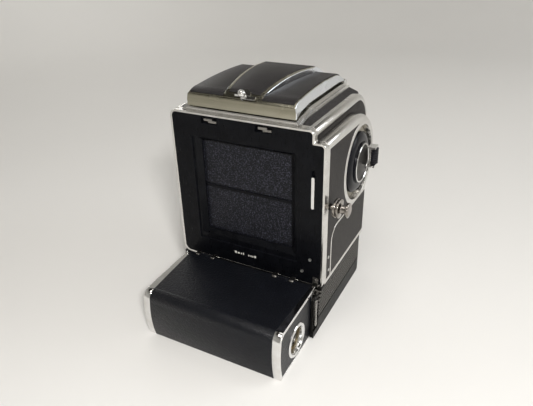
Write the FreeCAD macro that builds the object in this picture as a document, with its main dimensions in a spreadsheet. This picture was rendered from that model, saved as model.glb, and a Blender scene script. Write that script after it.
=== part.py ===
import FreeCAD, Part
import math
import os
import Sketcher

# A medium-format reflex camera with a folding hood and a hinged roll-film box at its foot.
# Millimetres. The lens looks along -Y, +Z is up, the winding side is -X.
# The origin is the mouth of the tripod socket, on the plane the camera stands on.

DIMENSIONS = {
    # whole body
    "body_half": 45, "side_out": 51.5, "rear_face": 37, "skin": 0.8, "fit_gap": 0.05,
    "base_top": 29.5, "deck_top": 125.3, "lower_front": 36, "upper_front": 50.5,
    "box_front": 46.7, "foot_front": 35.5, "shoulder_top": 118.7, "bottom_plate_thick": 1.2,
    # optical axis and mirror chamber
    "axis_across": -2.25, "axis_up": 79.25, "chamber_half": 32, "chamber_low": 39, "chamber_top": 118,
    # rear frame and film gate
    "frame_thick": 4, "frame_inset": 1.3, "gate_half": 28.75, "gate_low": 50, "gate_high": 108.5,
    # shutter
    "roller_radius": 2.6, "roller_depth": 29, "upper_roller_up": 114.2, "lower_roller_up": 43.4,
    "seam_up": 79, "cloth_thick": 0.6, "curtain_half": 30,
    # winding side
    "wind_along": -19.5, "wind_up": 86.8, "recess_radius": 23.3, "ring_radius": 26.6, "bulge_radius": 28.2,
    "recess_floor": 46.5, "drum_radius": 19, "hub_radius": 13, "hub_face": 53, "shaft_radius": 4,
    "grip_along": -33.6, "grip_out": 56.5, "grip_radius": 2.4,
    "knob_along": 28.5, "knob_up": 79.5,
    # hood
    "hood_centre": 0.4, "hood_half": 33.9, "hood_moulding": 2.6, "hinge_along": -38.5, "hinge_up": 129.6,
    "hinge_radius": 2, "hinge_pin_radius": 1, "flap_thick": 0.6, "flap_up": 131.6, "flap_reach": 24,
    "flap_hinge_half": 30.2, "flap_hinge_rear": 29,
    # film box
    "box_right": 48.6, "box_left": 40, "box_hinge_along": 40, "box_hinge_up": 30.6,
    "spool_along": 65.7, "spool_up": 12.9, "spool_flange": 11.3, "spool_half": 32.3, "cap_wide": 4.4,
    "ring_outer": 10.2, "lever_along": 44.2, "lever_up": 24.6,
    # lens
    "mount_radius": 30, "throat_radius": 24, "lens_front": 84,
    # mirror
    "mirror_pivot_along": 24.5, "mirror_pivot_up": 114.6, "mirror_long": 62, "mirror_half": 28,
}

doc = FreeCAD.newDocument("reflex_camera")
sheet = doc.addObject("Spreadsheet::Sheet", "Dims")


class Size:
    """A length that knows its value and the sheet expression it comes from."""

    def __init__(self, value, text):
        self.value = float(value)
        self.text = text

    def joined(self, other, sign, value, flip=False):
        left, right = (other, self) if flip else (self, other)
        return Size(value, f"({words_of(left)} {sign} {words_of(right)})")

    def __add__(self, other):
        return self.joined(other, "+", self.value + number(other))

    def __radd__(self, other):
        return self.joined(other, "+", number(other) + self.value, True)

    def __sub__(self, other):
        return self.joined(other, "-", self.value - number(other))

    def __rsub__(self, other):
        return self.joined(other, "-", number(other) - self.value, True)

    def __mul__(self, other):
        return self.joined(other, "*", self.value * number(other))

    def __rmul__(self, other):
        return self.joined(other, "*", number(other) * self.value, True)

    def __truediv__(self, other):
        return self.joined(other, "/", self.value / number(other))

    def __neg__(self):
        return Size(-self.value, f"(0 - {self.text})")


def number(size):
    return size.value if isinstance(size, Size) else float(size)


def words_of(size):
    return size.text if isinstance(size, Size) else repr(float(size))


class Sizes:
    """The spreadsheet's cells by alias."""


d = Sizes()
for row, (alias, amount) in enumerate(DIMENSIONS.items(), 1):
    sheet.set(f"A{row}", alias)
    sheet.set(f"B{row}", str(amount))
    sheet.setAlias(f"B{row}", alias)
    setattr(d, alias, Size(amount, f"Dims.{alias}"))
doc.recompute()

parts = []


def bind(obj, name, size):
    """Set a property from a size, with its expression where it has one."""
    if isinstance(size, Size):
        obj.setExpression(name, size.text)
        return
    if "." not in name:
        setattr(obj, name, number(size))
        return
    obj.setExpression(name, repr(float(size)))


def place(obj, at, field="Placement"):
    for letter, size in zip("xyz", at):
        bind(obj, f"{field}.Base.{letter}", size)


def part(label, obj):
    """Give an object its own label and keep it as a sub-part."""
    obj.Label = label
    parts.append(obj)
    return obj


# ---------------------------------------------------------------- primitives

TURNS = {
    "x": FreeCAD.Rotation(FreeCAD.Vector(0, 1, 0), 90),
    "y": FreeCAD.Rotation(FreeCAD.Vector(1, 0, 0), -90),
    "z": FreeCAD.Rotation(),
}


def block(low, size):
    obj = doc.addObject("Part::Box", "block")
    for name, length in zip(("Length", "Width", "Height"), size):
        bind(obj, name, length)
    place(obj, low)
    return obj


def rod(axis, at, radius, length):
    """A cylinder whose first end is at a point and which runs along +axis."""
    obj = doc.addObject("Part::Cylinder", "rod")
    bind(obj, "Radius", radius)
    bind(obj, "Height", length)
    obj.Placement = FreeCAD.Placement(FreeCAD.Vector(), TURNS[axis])
    place(obj, at)
    return obj


def cut(base, *tools):
    for tool in tools:
        made = doc.addObject("Part::Cut", "cut")
        made.Base = base
        made.Tool = tool
        base = made
    return base


def fuse(*shapes):
    made = doc.addObject("Part::MultiFuse", "fuse")
    made.Shapes = list(shapes)
    made.Refine = True
    return made


def common(*shapes):
    made = doc.addObject("Part::MultiCommon", "common")
    made.Shapes = list(shapes)
    return made


def group(*shapes):
    """Several separate solids in one node."""
    made = doc.addObject("Part::Compound", "group")
    made.Links = list(shapes)
    return made


def rounded(obj, radius, wanted):
    """Fillet the edges whose box passes a test."""
    doc.recompute()
    chosen = [
        (index, number(radius), number(radius))
        for index, edge in enumerate(obj.Shape.Edges, 1)
        if wanted(edge.BoundBox)
    ]
    made = doc.addObject("Part::Fillet", "rounded")
    made.Base = obj
    made.Edges = chosen
    return made


# ---------------------------------------------------------------- sketches

PLANES = {"xy": "XY_Plane", "xz": "XZ_Plane", "yz": "YZ_Plane"}


def vector(point):
    return FreeCAD.Vector(number(point[0]), number(point[1]), 0)


def is_arc(step):
    return isinstance(step[0], tuple)


def end_of(step):
    return step[1] if is_arc(step) else step


def draw(sketch, outline):
    """Draw a closed outline. A step is a point, or (middle, end) for an arc."""
    ends = [end_of(step) for step in outline]
    geometry = []
    for index, step in enumerate(outline):
        start = vector(ends[index - 1])
        if is_arc(step):
            geometry.append(Part.Arc(start, vector(step[0]), vector(step[1])))
        else:
            geometry.append(Part.LineSegment(start, vector(step)))
    first = sketch.GeometryCount
    sketch.addGeometry(geometry, False)
    if any(is_arc(step) for step in outline):
        return
    count = len(geometry)
    for index in range(count):
        here, after = first + index, first + (index + 1) % count
        sketch.addConstraint(Sketcher.Constraint("Coincident", here, 2, after, 1))
    for index, point in enumerate(ends):
        for kind, size in zip(("DistanceX", "DistanceY"), point):
            fixed = Sketcher.Constraint(kind, -1, 1, first + index, 2, number(size))
            made = sketch.addConstraint(fixed)
            if isinstance(size, Size):
                sketch.setExpression(f"Constraints[{made}]", size.text)


def draw_circle(sketch, centre, radius):
    circle = Part.Circle(vector(centre), FreeCAD.Vector(0, 0, 1), number(radius))
    index = sketch.addGeometry(circle, False)
    made = sketch.addConstraint(Sketcher.Constraint("Radius", index, number(radius)))
    if isinstance(radius, Size):
        sketch.setExpression(f"Constraints[{made}]", radius.text)
    for kind, size in zip(("DistanceX", "DistanceY"), centre):
        made = sketch.addConstraint(Sketcher.Constraint(kind, -1, 1, index, 3, number(size)))
        if isinstance(size, Size):
            sketch.setExpression(f"Constraints[{made}]", size.text)


def new_sketch(body, plane, offset):
    sketch = body.newObject("Sketcher::SketchObject", "outline")
    origin = [f for f in body.Origin.OriginFeatures if f.Role == PLANES[plane]][0]
    sketch.AttachmentSupport = (origin, "")
    sketch.MapMode = "FlatFace"
    place(sketch, offset, "AttachmentOffset")
    return sketch


def pad(plane, outline, start, length, holes=(), circles=()):
    """A padded outline: yz runs from x = start to +X, xy from z = start up, xz from y = start to -Y."""
    body = doc.addObject("PartDesign::Body", "body")
    sketch = new_sketch(body, plane, (0, 0, -start if plane == "xz" else start))
    if outline:
        draw(sketch, outline)
    for hole in holes:
        draw(sketch, hole)
    for centre, radius in circles:
        draw_circle(sketch, centre, radius)
    feature = body.newObject("PartDesign::Pad", "pad")
    feature.Profile = sketch
    bind(feature, "Length", length)
    sketch.Visibility = False
    return body


def turned(axis, outline, at):
    """An outline of (along, radius) points turned about an axis through a point."""
    body = doc.addObject("PartDesign::Body", "body")
    plane = {"x": "xy", "y": "yz", "z": "xz"}[axis]
    across, along, up = at
    offset = {"x": (0, along, up), "y": (0, up, across), "z": (across, 0, -1 * along)}[axis]
    sketch = new_sketch(body, plane, offset)
    if axis == "z":
        outline = [
            tuple(tuple(reversed(q)) for q in p) if is_arc(p) else tuple(reversed(p)) for p in outline
        ]
    draw(sketch, outline)
    feature = body.newObject("PartDesign::Revolution", "turned")
    feature.Profile = sketch
    feature.ReferenceAxis = (sketch, ["V_Axis"] if axis == "z" else ["H_Axis"])
    feature.Angle = 360
    return body


def on_circle(centre, radius, degrees):
    angle = math.radians(degrees)
    return (centre[0] + radius * math.cos(angle), centre[1] + radius * math.sin(angle))


def arc_points(centre, radius, start, stop):
    """Middle and end of an arc given by two angles in degrees."""
    return on_circle(centre, radius, (start + stop) / 2), on_circle(centre, radius, stop)


def rectangle(low, high):
    return [(low[0], low[1]), (high[0], low[1]), (high[0], high[1]), (low[0], high[1])]


def soft_corners(points, radii):
    """Round the corners of a polygon: each corner becomes an arc of its own radius."""
    outline = []
    corners = [FreeCAD.Vector(number(a), number(b), 0) for a, b in points]
    for index, corner in enumerate(corners):
        before = (corners[index - 1] - corner).normalize()
        after = (corners[(index + 1) % len(corners)] - corner).normalize()
        radius = number(radii[index])
        if radius == 0:
            outline.append((corner.x, corner.y))
            continue
        half = before.getAngle(after) / 2
        reach = radius / math.tan(half)
        start, stop = corner + before * reach, corner + after * reach
        inward = (before + after).normalize()
        middle = corner + inward * (radius / math.sin(half) - radius)
        outline.append((start.x, start.y))
        outline.append(((middle.x, middle.y), (stop.x, stop.y)))
    return outline


# ---------------------------------------------------------------- body

def deck_outline(drop):
    """Side view of the body's top, moved in by a depth: flat, then curving down to the front."""
    radius = number(d.deck_top) - 104
    knee = radius - number(d.upper_front)
    middle = on_circle((knee, 104), radius - drop, 135)
    return number(d.deck_top) - drop, drop - number(d.upper_front), knee, middle


def chamber_outline():
    """Side view of the mirror chamber, which follows the box's curved and sloping front."""
    low, high = number(d.chamber_low), number(d.chamber_top)
    top, front, knee, middle = deck_outline(6.3)
    lift = high - 104
    reach = number(d.deck_top) - 104 - 6.3
    start = 180 - math.degrees(math.asin(lift / reach))
    arc = (on_circle((knee, 104), reach, (start + 180) / 2), (front, 104))
    return [
        (34, low), (34, high), on_circle((knee, 104), reach, start), arc, (front, 60.7), (-33, 45), (-33, low),
    ]


def make_mirror_box():
    top, front, knee, middle = deck_outline(3.8)
    outline = [
        (number(d.rear_face) - 4, number(d.base_top)), (number(d.rear_face) - 4, top),
        (knee, top), (middle, (front, 104)), (front, 60),
        (-number(d.foot_front), 44), (-number(d.foot_front), number(d.base_top)),
    ]
    body = pad("yz", outline, -d.body_half, d.body_half * 2 - d.skin)
    chamber = pad("yz", chamber_outline(), d.axis_across - d.chamber_half, d.chamber_half * 2)
    well = block((-29.6, -30, d.chamber_top - 1), (60, 56, 6))
    throat = rod("y", (d.axis_across, -d.box_front - 1, d.axis_up), d.throat_radius + 0.1, 5)
    wind_hole = rod("x", (-d.body_half - 1, d.wind_along, d.wind_up), d.shaft_radius + d.fit_gap, 8)
    dial_hole = rod("x", (d.body_half - 8, -10, 92), 3 + d.fit_gap, 9)
    button_hole = rod("y", (-30, -d.foot_front - 1, 37), 4 + d.fit_gap, 12)
    pivots = rod(
        "x", (d.axis_across - d.chamber_half - 3, d.mirror_pivot_along, d.mirror_pivot_up),
        1 + d.fit_gap, d.chamber_half * 2 + 6,
    )
    rollers = [
        rod("x", (d.axis_across - d.chamber_half - 3, d.roller_depth, up), 1 + d.fit_gap,
            d.chamber_half * 2 + 6)
        for up in (d.upper_roller_up, d.lower_roller_up)
    ]
    holes = [well, throat, wind_hole, dial_hole, button_hole, pivots, *rollers]
    part("mirror_box", cut(body, chamber, *holes))


def frame_outline(inset):
    """Rear view of the frame: a rectangle with a step down to the winding side's shoulder."""
    left, low = number(d.body_half) - inset, number(d.base_top) + inset
    step, top = -number(d.body_half) + inset, number(d.deck_top) - inset
    right, shoulder = -number(d.side_out) + inset, number(d.shoulder_top) - inset
    points = [(left, low), (left, top), (step, top), (step, shoulder), (right, shoulder), (right, low)]
    return soft_corners(points, [5 - inset, 4 - inset, 3 - inset, 1, 3 - inset, 2])


def slanted_opening(low, high, near, far, spread):
    """A four-sided funnel through the frame, wider at the rear face."""
    made = doc.addObject("Part::Wedge", "funnel")
    sizes = {
        "Xmin": low[0], "Zmin": low[1], "Xmax": high[0], "Zmax": high[1],
        "X2min": low[0] - spread, "Z2min": low[1] - spread,
        "X2max": high[0] + spread, "Z2max": high[1] + spread,
        "Ymin": near, "Ymax": far,
    }
    for name, size in sizes.items():
        bind(made, name, size)
    return made


def make_rear_frame():
    low = (d.axis_across - d.gate_half, d.gate_low)
    high = (d.axis_across + d.gate_half, d.gate_high)
    plate = pad("xz", frame_outline(number(d.frame_inset)), d.rear_face, d.frame_thick)
    gate = block((low[0], d.rear_face - 5, low[1]), (d.gate_half * 2, 6, d.gate_high - d.gate_low))
    funnel = slanted_opening(low, high, d.rear_face - 3.2, d.rear_face - 0.4, 3.6)
    rebate = block(
        (low[0] - 4.6, d.rear_face - 0.8, low[1] - 6.6),
        (d.gate_half * 2 + 9.2, 2, d.gate_high - d.gate_low + 9.2),
    )
    slots = [block((left, d.rear_face - 2, 119.6), (10.4, 3, 3.6)) for left in (13.2, -21)]
    bar_slot = block((-45.8, d.rear_face - 2, 79.6), (2.1, 3, 23.6))
    pins = [rod("y", (across, d.rear_face - 2, up), 0.9, 3) for across, up in PIN_PLACES]
    body = cut(plate, gate, funnel, rebate, *slots, bar_slot, *pins)
    part("rear_frame", body)
    rim = pad(
        "xz", frame_outline(0), d.rear_face, d.frame_thick, holes=[frame_outline(number(d.frame_inset))]
    )
    part("frame_trim", rim)


PIN_PLACES = ((-43.7, 47.4), (-38.8, 38.3))


def make_frame_fittings():
    pins = [rod("y", (across, d.rear_face - 2, up), 0.9, 2.6) for across, up in PIN_PLACES]
    part("frame_pins", group(*pins))
    hooks = []
    for left in (13.8, -20.4):
        outline = [
            (left, 120.3), (left + 5.2, 120.3), (left + 5.2, 121.2), (left + 8, 121.2),
            (left + 8, 122.7), (left + 2.6, 122.7), (left + 2.6, 121.7), (left, 121.7),
        ]
        hooks.append(pad("xz", outline, d.rear_face - 0.1, 1.6))
    part("catch_hooks", group(*hooks))
    bar = pad(
        "xz", soft_corners(rectangle((-45.6, 80.7), (-43.9, 99.6)), [0.8] * 4), d.rear_face + 0.5, 2.3
    )
    part("interlock_bar", bar)


def make_shutter():
    face = d.roller_depth + d.roller_radius
    left = d.axis_across - d.curtain_half
    wide = d.curtain_half * 2
    upper = block(
        (left, face, d.seam_up + 0.8), (wide, d.cloth_thick, d.upper_roller_up - d.seam_up - 0.8),
    )
    part("upper_curtain", upper)
    lower = block(
        (left, face, d.lower_roller_up), (wide, d.cloth_thick, d.seam_up - 0.8 - d.lower_roller_up),
    )
    part("lower_curtain", lower)
    part("curtain_lath", block((left, face - 0.3, d.seam_up - 0.8), (wide, 1.3, 1.6)))
    outer, inner = number(d.curtain_half), number(d.chamber_half) + 2.5
    centre = number(d.axis_across)
    for label, up in (("upper_roller", d.upper_roller_up), ("lower_roller", d.lower_roller_up)):
        outline = [
            (centre - inner, 0), (centre + inner, 0), (centre + inner, 1), (centre + outer + 1, 1),
            (centre + outer + 1, number(d.roller_radius)), (centre - outer - 1, number(d.roller_radius)),
            (centre - outer - 1, 1), (centre - inner, 1),
        ]
        part(label, turned("x", outline, (0, d.roller_depth, up)))


def make_top_deck():
    top, front, knee, middle = deck_outline(0)
    low, inner, knee, inner_middle = deck_outline(3.8)
    outline = [
        (33, low), (33, top), (knee, top), (middle, (front, 104)), (inner, 104),
        (inner_middle, (knee, low)),
    ]
    deck = pad("yz", outline, -d.body_half, d.body_half * 2)
    deck = rounded(deck, 2.6, lambda box: box.XLength < 0.01 and box.ZMax > 104.5 and box.ZMin > 103.9
                   and abs(box.XMin) > 44 and not (box.ZMax < 121.6) and box.YLength > 5)
    well = block((-33.2, -36.5, 118), (67.2, 62.5, 10))
    mount = rod("y", (d.axis_across, -60, d.axis_up), d.mount_radius + d.fit_gap, 20)
    part("top_deck", cut(deck, well, mount))


# ---------------------------------------------------------------- winding side

def housing_outline():
    """Side view of the raised winding-side housing, which bulges to the front round the wind knob."""
    centre = (number(d.wind_along), number(d.wind_up))
    bulge, top, front = number(d.bulge_radius), number(d.shoulder_top), -number(d.lower_front)
    # a wide arc joins the flat top to the bulge, and a small hollow one joins the bulge to the front
    join, hollow = 130, 6
    rise = math.sin(math.radians(join))
    wide = (top - centre[1] - bulge * rise) / (1 - rise)
    wide_centre = on_circle(centre, bulge - wide, join)
    hollow_along = front - hollow
    drop = math.sqrt((bulge + hollow) ** 2 - (hollow_along - centre[0]) ** 2)
    hollow_centre = (hollow_along, centre[1] - drop)
    leave = math.degrees(math.atan2(-drop, hollow_along - centre[0])) + 360
    return [
        (33, number(d.base_top)), (33, top), (wide_centre[0], top), arc_points(wide_centre, wide, 90, join),
        arc_points(centre, bulge, join, leave), arc_points(hollow_centre, hollow, leave - 180, 0),
        (front, number(d.base_top)),
    ]


def bead_arc(offset):
    """The curved bead's corner, as an arc about one centre: its middle, its end and its first point."""
    centre, radius = (15.2, 53.3), 9 + offset
    return on_circle(centre, radius, 45), (centre[0] + radius, centre[1]), (centre[0], centre[1] + radius)


def upper_leather_outline(shrink):
    """The rear leather panel: under the shoulder, round the ring and down beside the curved bead."""
    centre = (number(d.wind_along), number(d.wind_up))
    radius = number(d.ring_radius) + shrink
    rear, top = 31 - shrink, 114.4 - shrink
    middle, stop, start = bead_arc(0.65 + shrink)
    first = math.degrees(math.acos(4.6 / radius))
    last = -math.degrees(math.asin((centre[1] - start[1]) / radius))
    return [
        (rear, 31.9 + shrink), (rear, top),
        (centre[0] + 4.6, centre[1] + radius * math.sin(math.radians(first))),
        arc_points(centre, radius, first, last), start, (middle, stop), (stop[0], 31.9 + shrink),
    ]


def lower_leather_outline(shrink):
    """The front leather panel, inside the curved bead."""
    low, front = 31.9 + shrink, -number(d.lower_front) + 1.5 + shrink
    middle, stop, start = bead_arc(-0.65 - shrink)
    return [(stop[0], low), stop, (middle, start), (front, start[1]), (front, low)]


def make_side_housing():
    out, inner = d.side_out, d.body_half
    shell = pad("yz", housing_outline(), -out, out - inner)
    shell = rounded(
        shell, 2.6, lambda box: abs(box.XMax + number(out)) < 0.01 and box.YMin < 32.9 and box.ZMax > 32
    )
    recess = rod("x", (-out - 1, d.wind_along, d.wind_up), d.recess_radius, out + 1 - d.recess_floor)
    shaft = rod("x", (-out - 1, d.wind_along, d.wind_up), d.shaft_radius + d.fit_gap, 8)
    knob = rod("x", (-out - 1, d.knob_along, d.knob_up), 1.8 + d.fit_gap, 8)
    pockets = [
        pad("yz", outline(0), -out - 1, 1 + d.skin)
        for outline in (upper_leather_outline, lower_leather_outline)
    ]
    housing = part("side_housing", cut(shell, recess, shaft, knob, *pockets))
    for label, outline in (
        ("side_leather_upper", upper_leather_outline), ("side_leather_lower", lower_leather_outline),
    ):
        skin = pad("yz", outline(0.1), -out + 0.05, d.skin - 0.05)
        if label == "side_leather_upper":
            skin = cut(skin, rod("x", (-out - 1, d.knob_along, d.knob_up), 2.1, 4))
        part(label, cut(skin, housing))


def make_wind_knob():
    at = (0, d.wind_along, d.wind_up)
    floor, drum, hub = number(d.recess_floor), number(d.drum_radius), number(d.hub_radius)
    face = number(d.hub_face)
    plate = [(-floor, 5), (-floor, 22.9), (-floor - 0.9, 22.9), (-floor - 0.9, 5)]
    part("dial_plate", turned("x", plate, at))
    knob = [
        (-38.5, 0), (-38.5, 4), (-floor - 1.2, 4), (-floor - 1.2, drum), (-50.4, drum),
        ((-51.55, drum - 2), (-52.2, hub + 0.2)), (-52.4, hub), (-face, hub - 0.1),
        (-face - 0.3, hub - 0.4),
        (-face - 0.3, 12.3), (-face + 0.5, 12.3), (-face + 0.5, 0),
    ]
    part("wind_drum", turned("x", knob, at))
    ring = [
        (-face + 0.5, 11.2), (-face + 0.5, 12.25), (-face - 0.5, 12.25), (-face - 0.75, 12),
        (-face - 0.75, 11.6), (-face - 0.4, 11.2),
    ]
    part("wind_ring", turned("x", ring, at))
    part("wind_disc", rod("x", (-face + 0.05, d.wind_along, d.wind_up), 11.15, 0.45))
    make_crank(face)


def make_crank(face):
    """A ribbed grip that turns on a pin between two lugs at the knob's front edge."""
    across, along, low, high = -number(d.grip_out), number(d.grip_along), 81.6, 92.4
    radius = number(d.grip_radius)
    outline = [(low, 0.85), (low, radius - 0.5)]
    pitch = (high - low) / GRIP_RIBS
    for index in range(GRIP_RIBS):
        start = low + pitch * index
        outline += [
            (start + pitch * 0.22, radius), (start + pitch * 0.62, radius),
            (start + pitch * 0.84, radius - 0.5),
        ]
    outline += [(high, radius - 0.5), (high, 0.85)]
    part("crank_grip", turned("z", outline, (across, along, 0)))
    lugs = [
        block((across - 1.6, along - 1.6, start), (-face - 0.35 - across + 1.6, 6.4, 1.2))
        for start in (low - 1.3, high + 0.1)
    ]
    ring_room = rod("x", (-face - 0.8, d.wind_along, d.wind_up), 12.3, 2)
    part("grip_pin", cut(fuse(rod("z", (across, along, low - 1), 0.8, high - low + 2), *lugs), ring_room))


GRIP_RIBS = 7


def fluted(radius, count, depth, centre):
    """A round outline with shallow scallops."""
    outline = []
    step = 2 * math.pi / count
    for index in range(count):
        angle = index * step
        crest = angle + step * 0.18
        ridge = (centre[0] + radius * math.cos(crest), centre[1] + radius * math.sin(crest))
        valley = angle + step * 0.59
        middle = (
            centre[0] + (radius - depth) * math.cos(valley), centre[1] + (radius - depth) * math.sin(valley)
        )
        stop = (centre[0] + radius * math.cos(angle + step), centre[1] + radius * math.sin(angle + step))
        outline.append(ridge)
        outline.append((middle, stop))
    return outline


def make_pull_knob():
    out = number(d.side_out)
    outline = [
        (-out + 4.5, 0), (-out + 4.5, 1.8), (-out - 2.2, 1.8), (-out - 2.2, 3.2), (-out - 3, 5.5),
        (-out - 4.2, 5.5), (-out - 4.6, 4.6), (-out - 5, 5.5), (-out - 6, 5.5), (-out - 6.6, 2.6),
        (-out - 9, 2.2), (-out - 9.6, 4.2), (-out - 10.8, 4.2), (-out - 11.3, 3.2), (-out - 11.3, 0),
    ]
    part("pull_knob", turned("x", outline, (0, d.knob_along, d.knob_up)))


# ---------------------------------------------------------------- base

RIB_COUNT = 7
RIB_PITCH = 2.4


def base_plan(inset):
    """Plan of the foot: square at the rear, rounded front corners."""
    right, left, front = -51.5 + inset, 45 - inset, -36 + inset
    points = [(right, 49), (left, 49), (left, front), (right, front)]
    return soft_corners(points, [0, 0, 8 - inset, 8 - inset])


def make_base():
    low, top = 1.2, number(d.base_top)
    core = pad("xy", base_plan(0.9), low, top - low)
    plain = pad("xy", base_plan(0), low, 11 - low)
    rim = pad("xy", base_plan(0), top - 1.4, 1.4)
    ribs = [pad("xy", base_plan(0), 11.9 + RIB_PITCH * index, 1.3) for index in range(RIB_COUNT)]
    side = [
        (37, top), (38.4, 25.5), ((44.5, 13.6), (48, 5)), (48.6, low), (-27.5, low), ((-33.6, 6), (-36, 14)),
        (-36, top),
    ]
    envelope = pad("yz", side, -d.side_out, d.side_out + d.body_half)
    solid = common(fuse(core, plain, rim, *ribs), envelope)
    box_room = block((-49, 41.5, 0), (90, 10, 31))
    hinge_room = block((-49, 37, 27.5), (94.5, 6, 4))
    hollow = block((-46, -30, 0), (86, 62, 26.5))
    finger = pad("yz", soft_corners(rectangle((41.6, 5.5), (50, 31)), [2, 0, 0, 2]), -52, 1.8)
    web = pad("yz", [(38, 1.2), (48, 1.2), (46.8, 8), (46.4, 27.2), (38, 27.2)], -50.2, 1.2)
    pivot = rod("x", (-51.4, d.lever_along, d.lever_up), 0.6, 2)
    part("base_casting", fuse(cut(solid, box_room, hinge_room, hollow, finger), web, pivot))
    plate = common(
        pad("xy", base_plan(0.7), 0, d.bottom_plate_thick),
        block((-51, -27, -1), (96, 68, 4)),
    )
    socket = rod("z", (0, 0, -1), 9, 4)
    screws = [rod("z", (across, along, -1), 3, 4) for across, along in SCREW_PLACES]
    part("bottom_plate", cut(plate, socket, *screws))
    insert = cut(
        fuse(rod("z", (0, 0, 0), 9, 1.2), rod("z", (0, 0, 1.2), 7, 5.8)), rod("z", (0, 0, -1), 3.2, 6.5)
    )
    part("tripod_socket", insert)
    heads = [
        cut(rod("z", (across, along, 0.15), 3, 1.05), block((across - 4, along - 0.4, -1), (8, 0.8, 1.6)))
        for across, along in SCREW_PLACES
    ]
    part("base_screws", group(*heads))


SCREW_PLACES = ((-44, -22), (38, -22), (-44, 36), (38, 36))


# ---------------------------------------------------------------- film box

def box_outline(inset):
    """Side view of the film box: flat top, soft rear corner, bowed rear face."""
    if inset:
        return [
            (40, 32.3 - inset), (80.3, 30.9 - inset), ((83.3, 29.2), (86.1 - inset, 25.4)),
            ((87.3 - inset, 15.5), (85.8 - inset, inset)), (40, inset),
        ]
    return [
        (40.2, 32.3), (80.3, 30.9), ((84.6, 29.6), (86.4, 25.6)), ((87.3, 15.5), (85.4, 0)), (43.3, 0),
        (43.3, 27.4), (40.2, 29.2),
    ]


def cap_plan(side, gap):
    """Plan of an end cap, narrower at the hinge."""
    outer = -number(d.box_right) if side < 0 else number(d.box_left)
    narrow, wide = 2.4 + gap, number(d.cap_wide) + gap
    inner, hinge = outer - side * wide, outer - side * narrow
    return [(outer, 38), (outer, 90), (inner, 90), (inner, 82), (hinge, 38)]


def hinge_gap(across):
    return block((across - 7.2, 38, 27.4), (14.4, 4.6, 8))


HINGE_PLACES = (27, -28)


def make_film_box():
    right, left = number(d.box_right), number(d.box_left)
    whole = right + left
    at = (0, d.spool_along, d.spool_up)
    # leather-covered middle
    sleeve = cut(
        pad("yz", box_outline(0), -right, whole), pad("yz", box_outline(1.4), -right, whole),
        *[pad("xy", cap_plan(side, 0), -1, 40) for side in (-1, 1)],
    )
    eyes = []
    for across in HINGE_PLACES:
        eyes.append(
            fuse(
                rod("x", (across - 4, d.box_hinge_along, d.box_hinge_up), 1.7, 8),
                block((across - 4, d.box_hinge_along, d.box_hinge_up - 0.9), (8, 3.2, 2.4)),
            )
        )
    holes = [
        rod("x", (across - 9, d.box_hinge_along, d.box_hinge_up), 0.85, 18) for across in HINGE_PLACES
    ]
    shell = cut(fuse(cut(sleeve, *[hinge_gap(across) for across in HINGE_PLACES]), *eyes), *holes)
    part("box_shell", shell)
    # polished end caps
    for side, label in ((-1, "box_cap_right"), (1, "box_cap_left")):
        outer = -right if side < 0 else left
        inner = outer if side > 0 else outer + 1.6
        hollow = pad("yz", box_outline(1.4), -right + 2.2 if side < 0 else left - 10, 7.8)
        face = pad("yz", end_leather_outline(0), -right - 1 if side < 0 else left - 0.8, 1.8)
        solid = common(
            pad("yz", box_outline(0), -right if side < 0 else left - 8, 8),
            pad("xy", cap_plan(side, 0), -1, 40),
        )
        tools = [hollow, face]
        if side < 0:
            tools.append(rod("x", (-right - 1, d.spool_along, d.spool_up), d.ring_outer + 0.05, 12))
            solid = cut(solid, *tools)
        else:
            start = (d.spool_half + d.axis_across - 4.5, d.spool_along, d.spool_up)
            stub = rod("x", start, 2.4, left - 30 + 2.95)
            solid = fuse(cut(solid, *tools), stub)
        part(label, solid)
    leathers = []
    for side in (-1, 1):
        skin = pad("yz", end_leather_outline(0.1), -right + 0.1 if side < 0 else left - 0.8, 0.7)
        if side < 0:
            skin = cut(skin, rod("x", (-right - 1, d.spool_along, d.spool_up), d.ring_outer + 0.1, 3))
        leathers.append(skin)
    part("box_end_leather", group(*leathers))
    # spool ring and key
    outer = number(d.ring_outer)
    ring = [
        (-right - 0.5, outer - 1.9), (-right - 0.5, outer - 0.3), (-right - 0.2, outer),
        (-right + 4.6, outer), (-right + 4.6, 2.45), (-right + 4, 2.45), (-right + 4, outer - 3),
        (-right + 0.4, outer - 2.3),
    ]
    part("spool_ring", turned("x", ring, at))
    tip = -number(d.spool_half) + number(d.axis_across) + 4.4
    key = [
        (tip, 0), (tip, 2.4), (-right + 3.8, 2.4), (-right + 3.8, 4.9), (-right + 2.2, 4.5), (-right + 2.2, 0),
    ]
    slots = [
        block((-right + 1, d.spool_along - 5, d.spool_up - 0.6), (2, 10, 1.2)),
        block((-right + 1, d.spool_along - 0.6, d.spool_up - 5), (2, 1.2, 10)),
    ]
    part("spool_key", cut(turned("x", key, at), *slots))
    centre, half, flange = number(d.axis_across), number(d.spool_half), number(d.spool_flange)
    spool = [
        (centre - half, 2.45), (centre - half, flange), (centre - half + 1, flange), (centre - half + 1, 5.8),
        (centre + half - 1, 5.8), (centre + half - 1, flange), (centre + half, flange), (centre + half, 2.45),
    ]
    part("film_spool", turned("x", spool, at))


def end_leather_outline(shrink):
    return [
        (45 + shrink, 1.2 + shrink), (45 + shrink, 30 - shrink), (79.5, 28.9 - shrink),
        ((83, 27.6 - shrink), (84.2 - shrink, 24.6)), ((85.2 - shrink, 14.5), (83.6 - shrink, 1.2 + shrink)),
    ]


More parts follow.
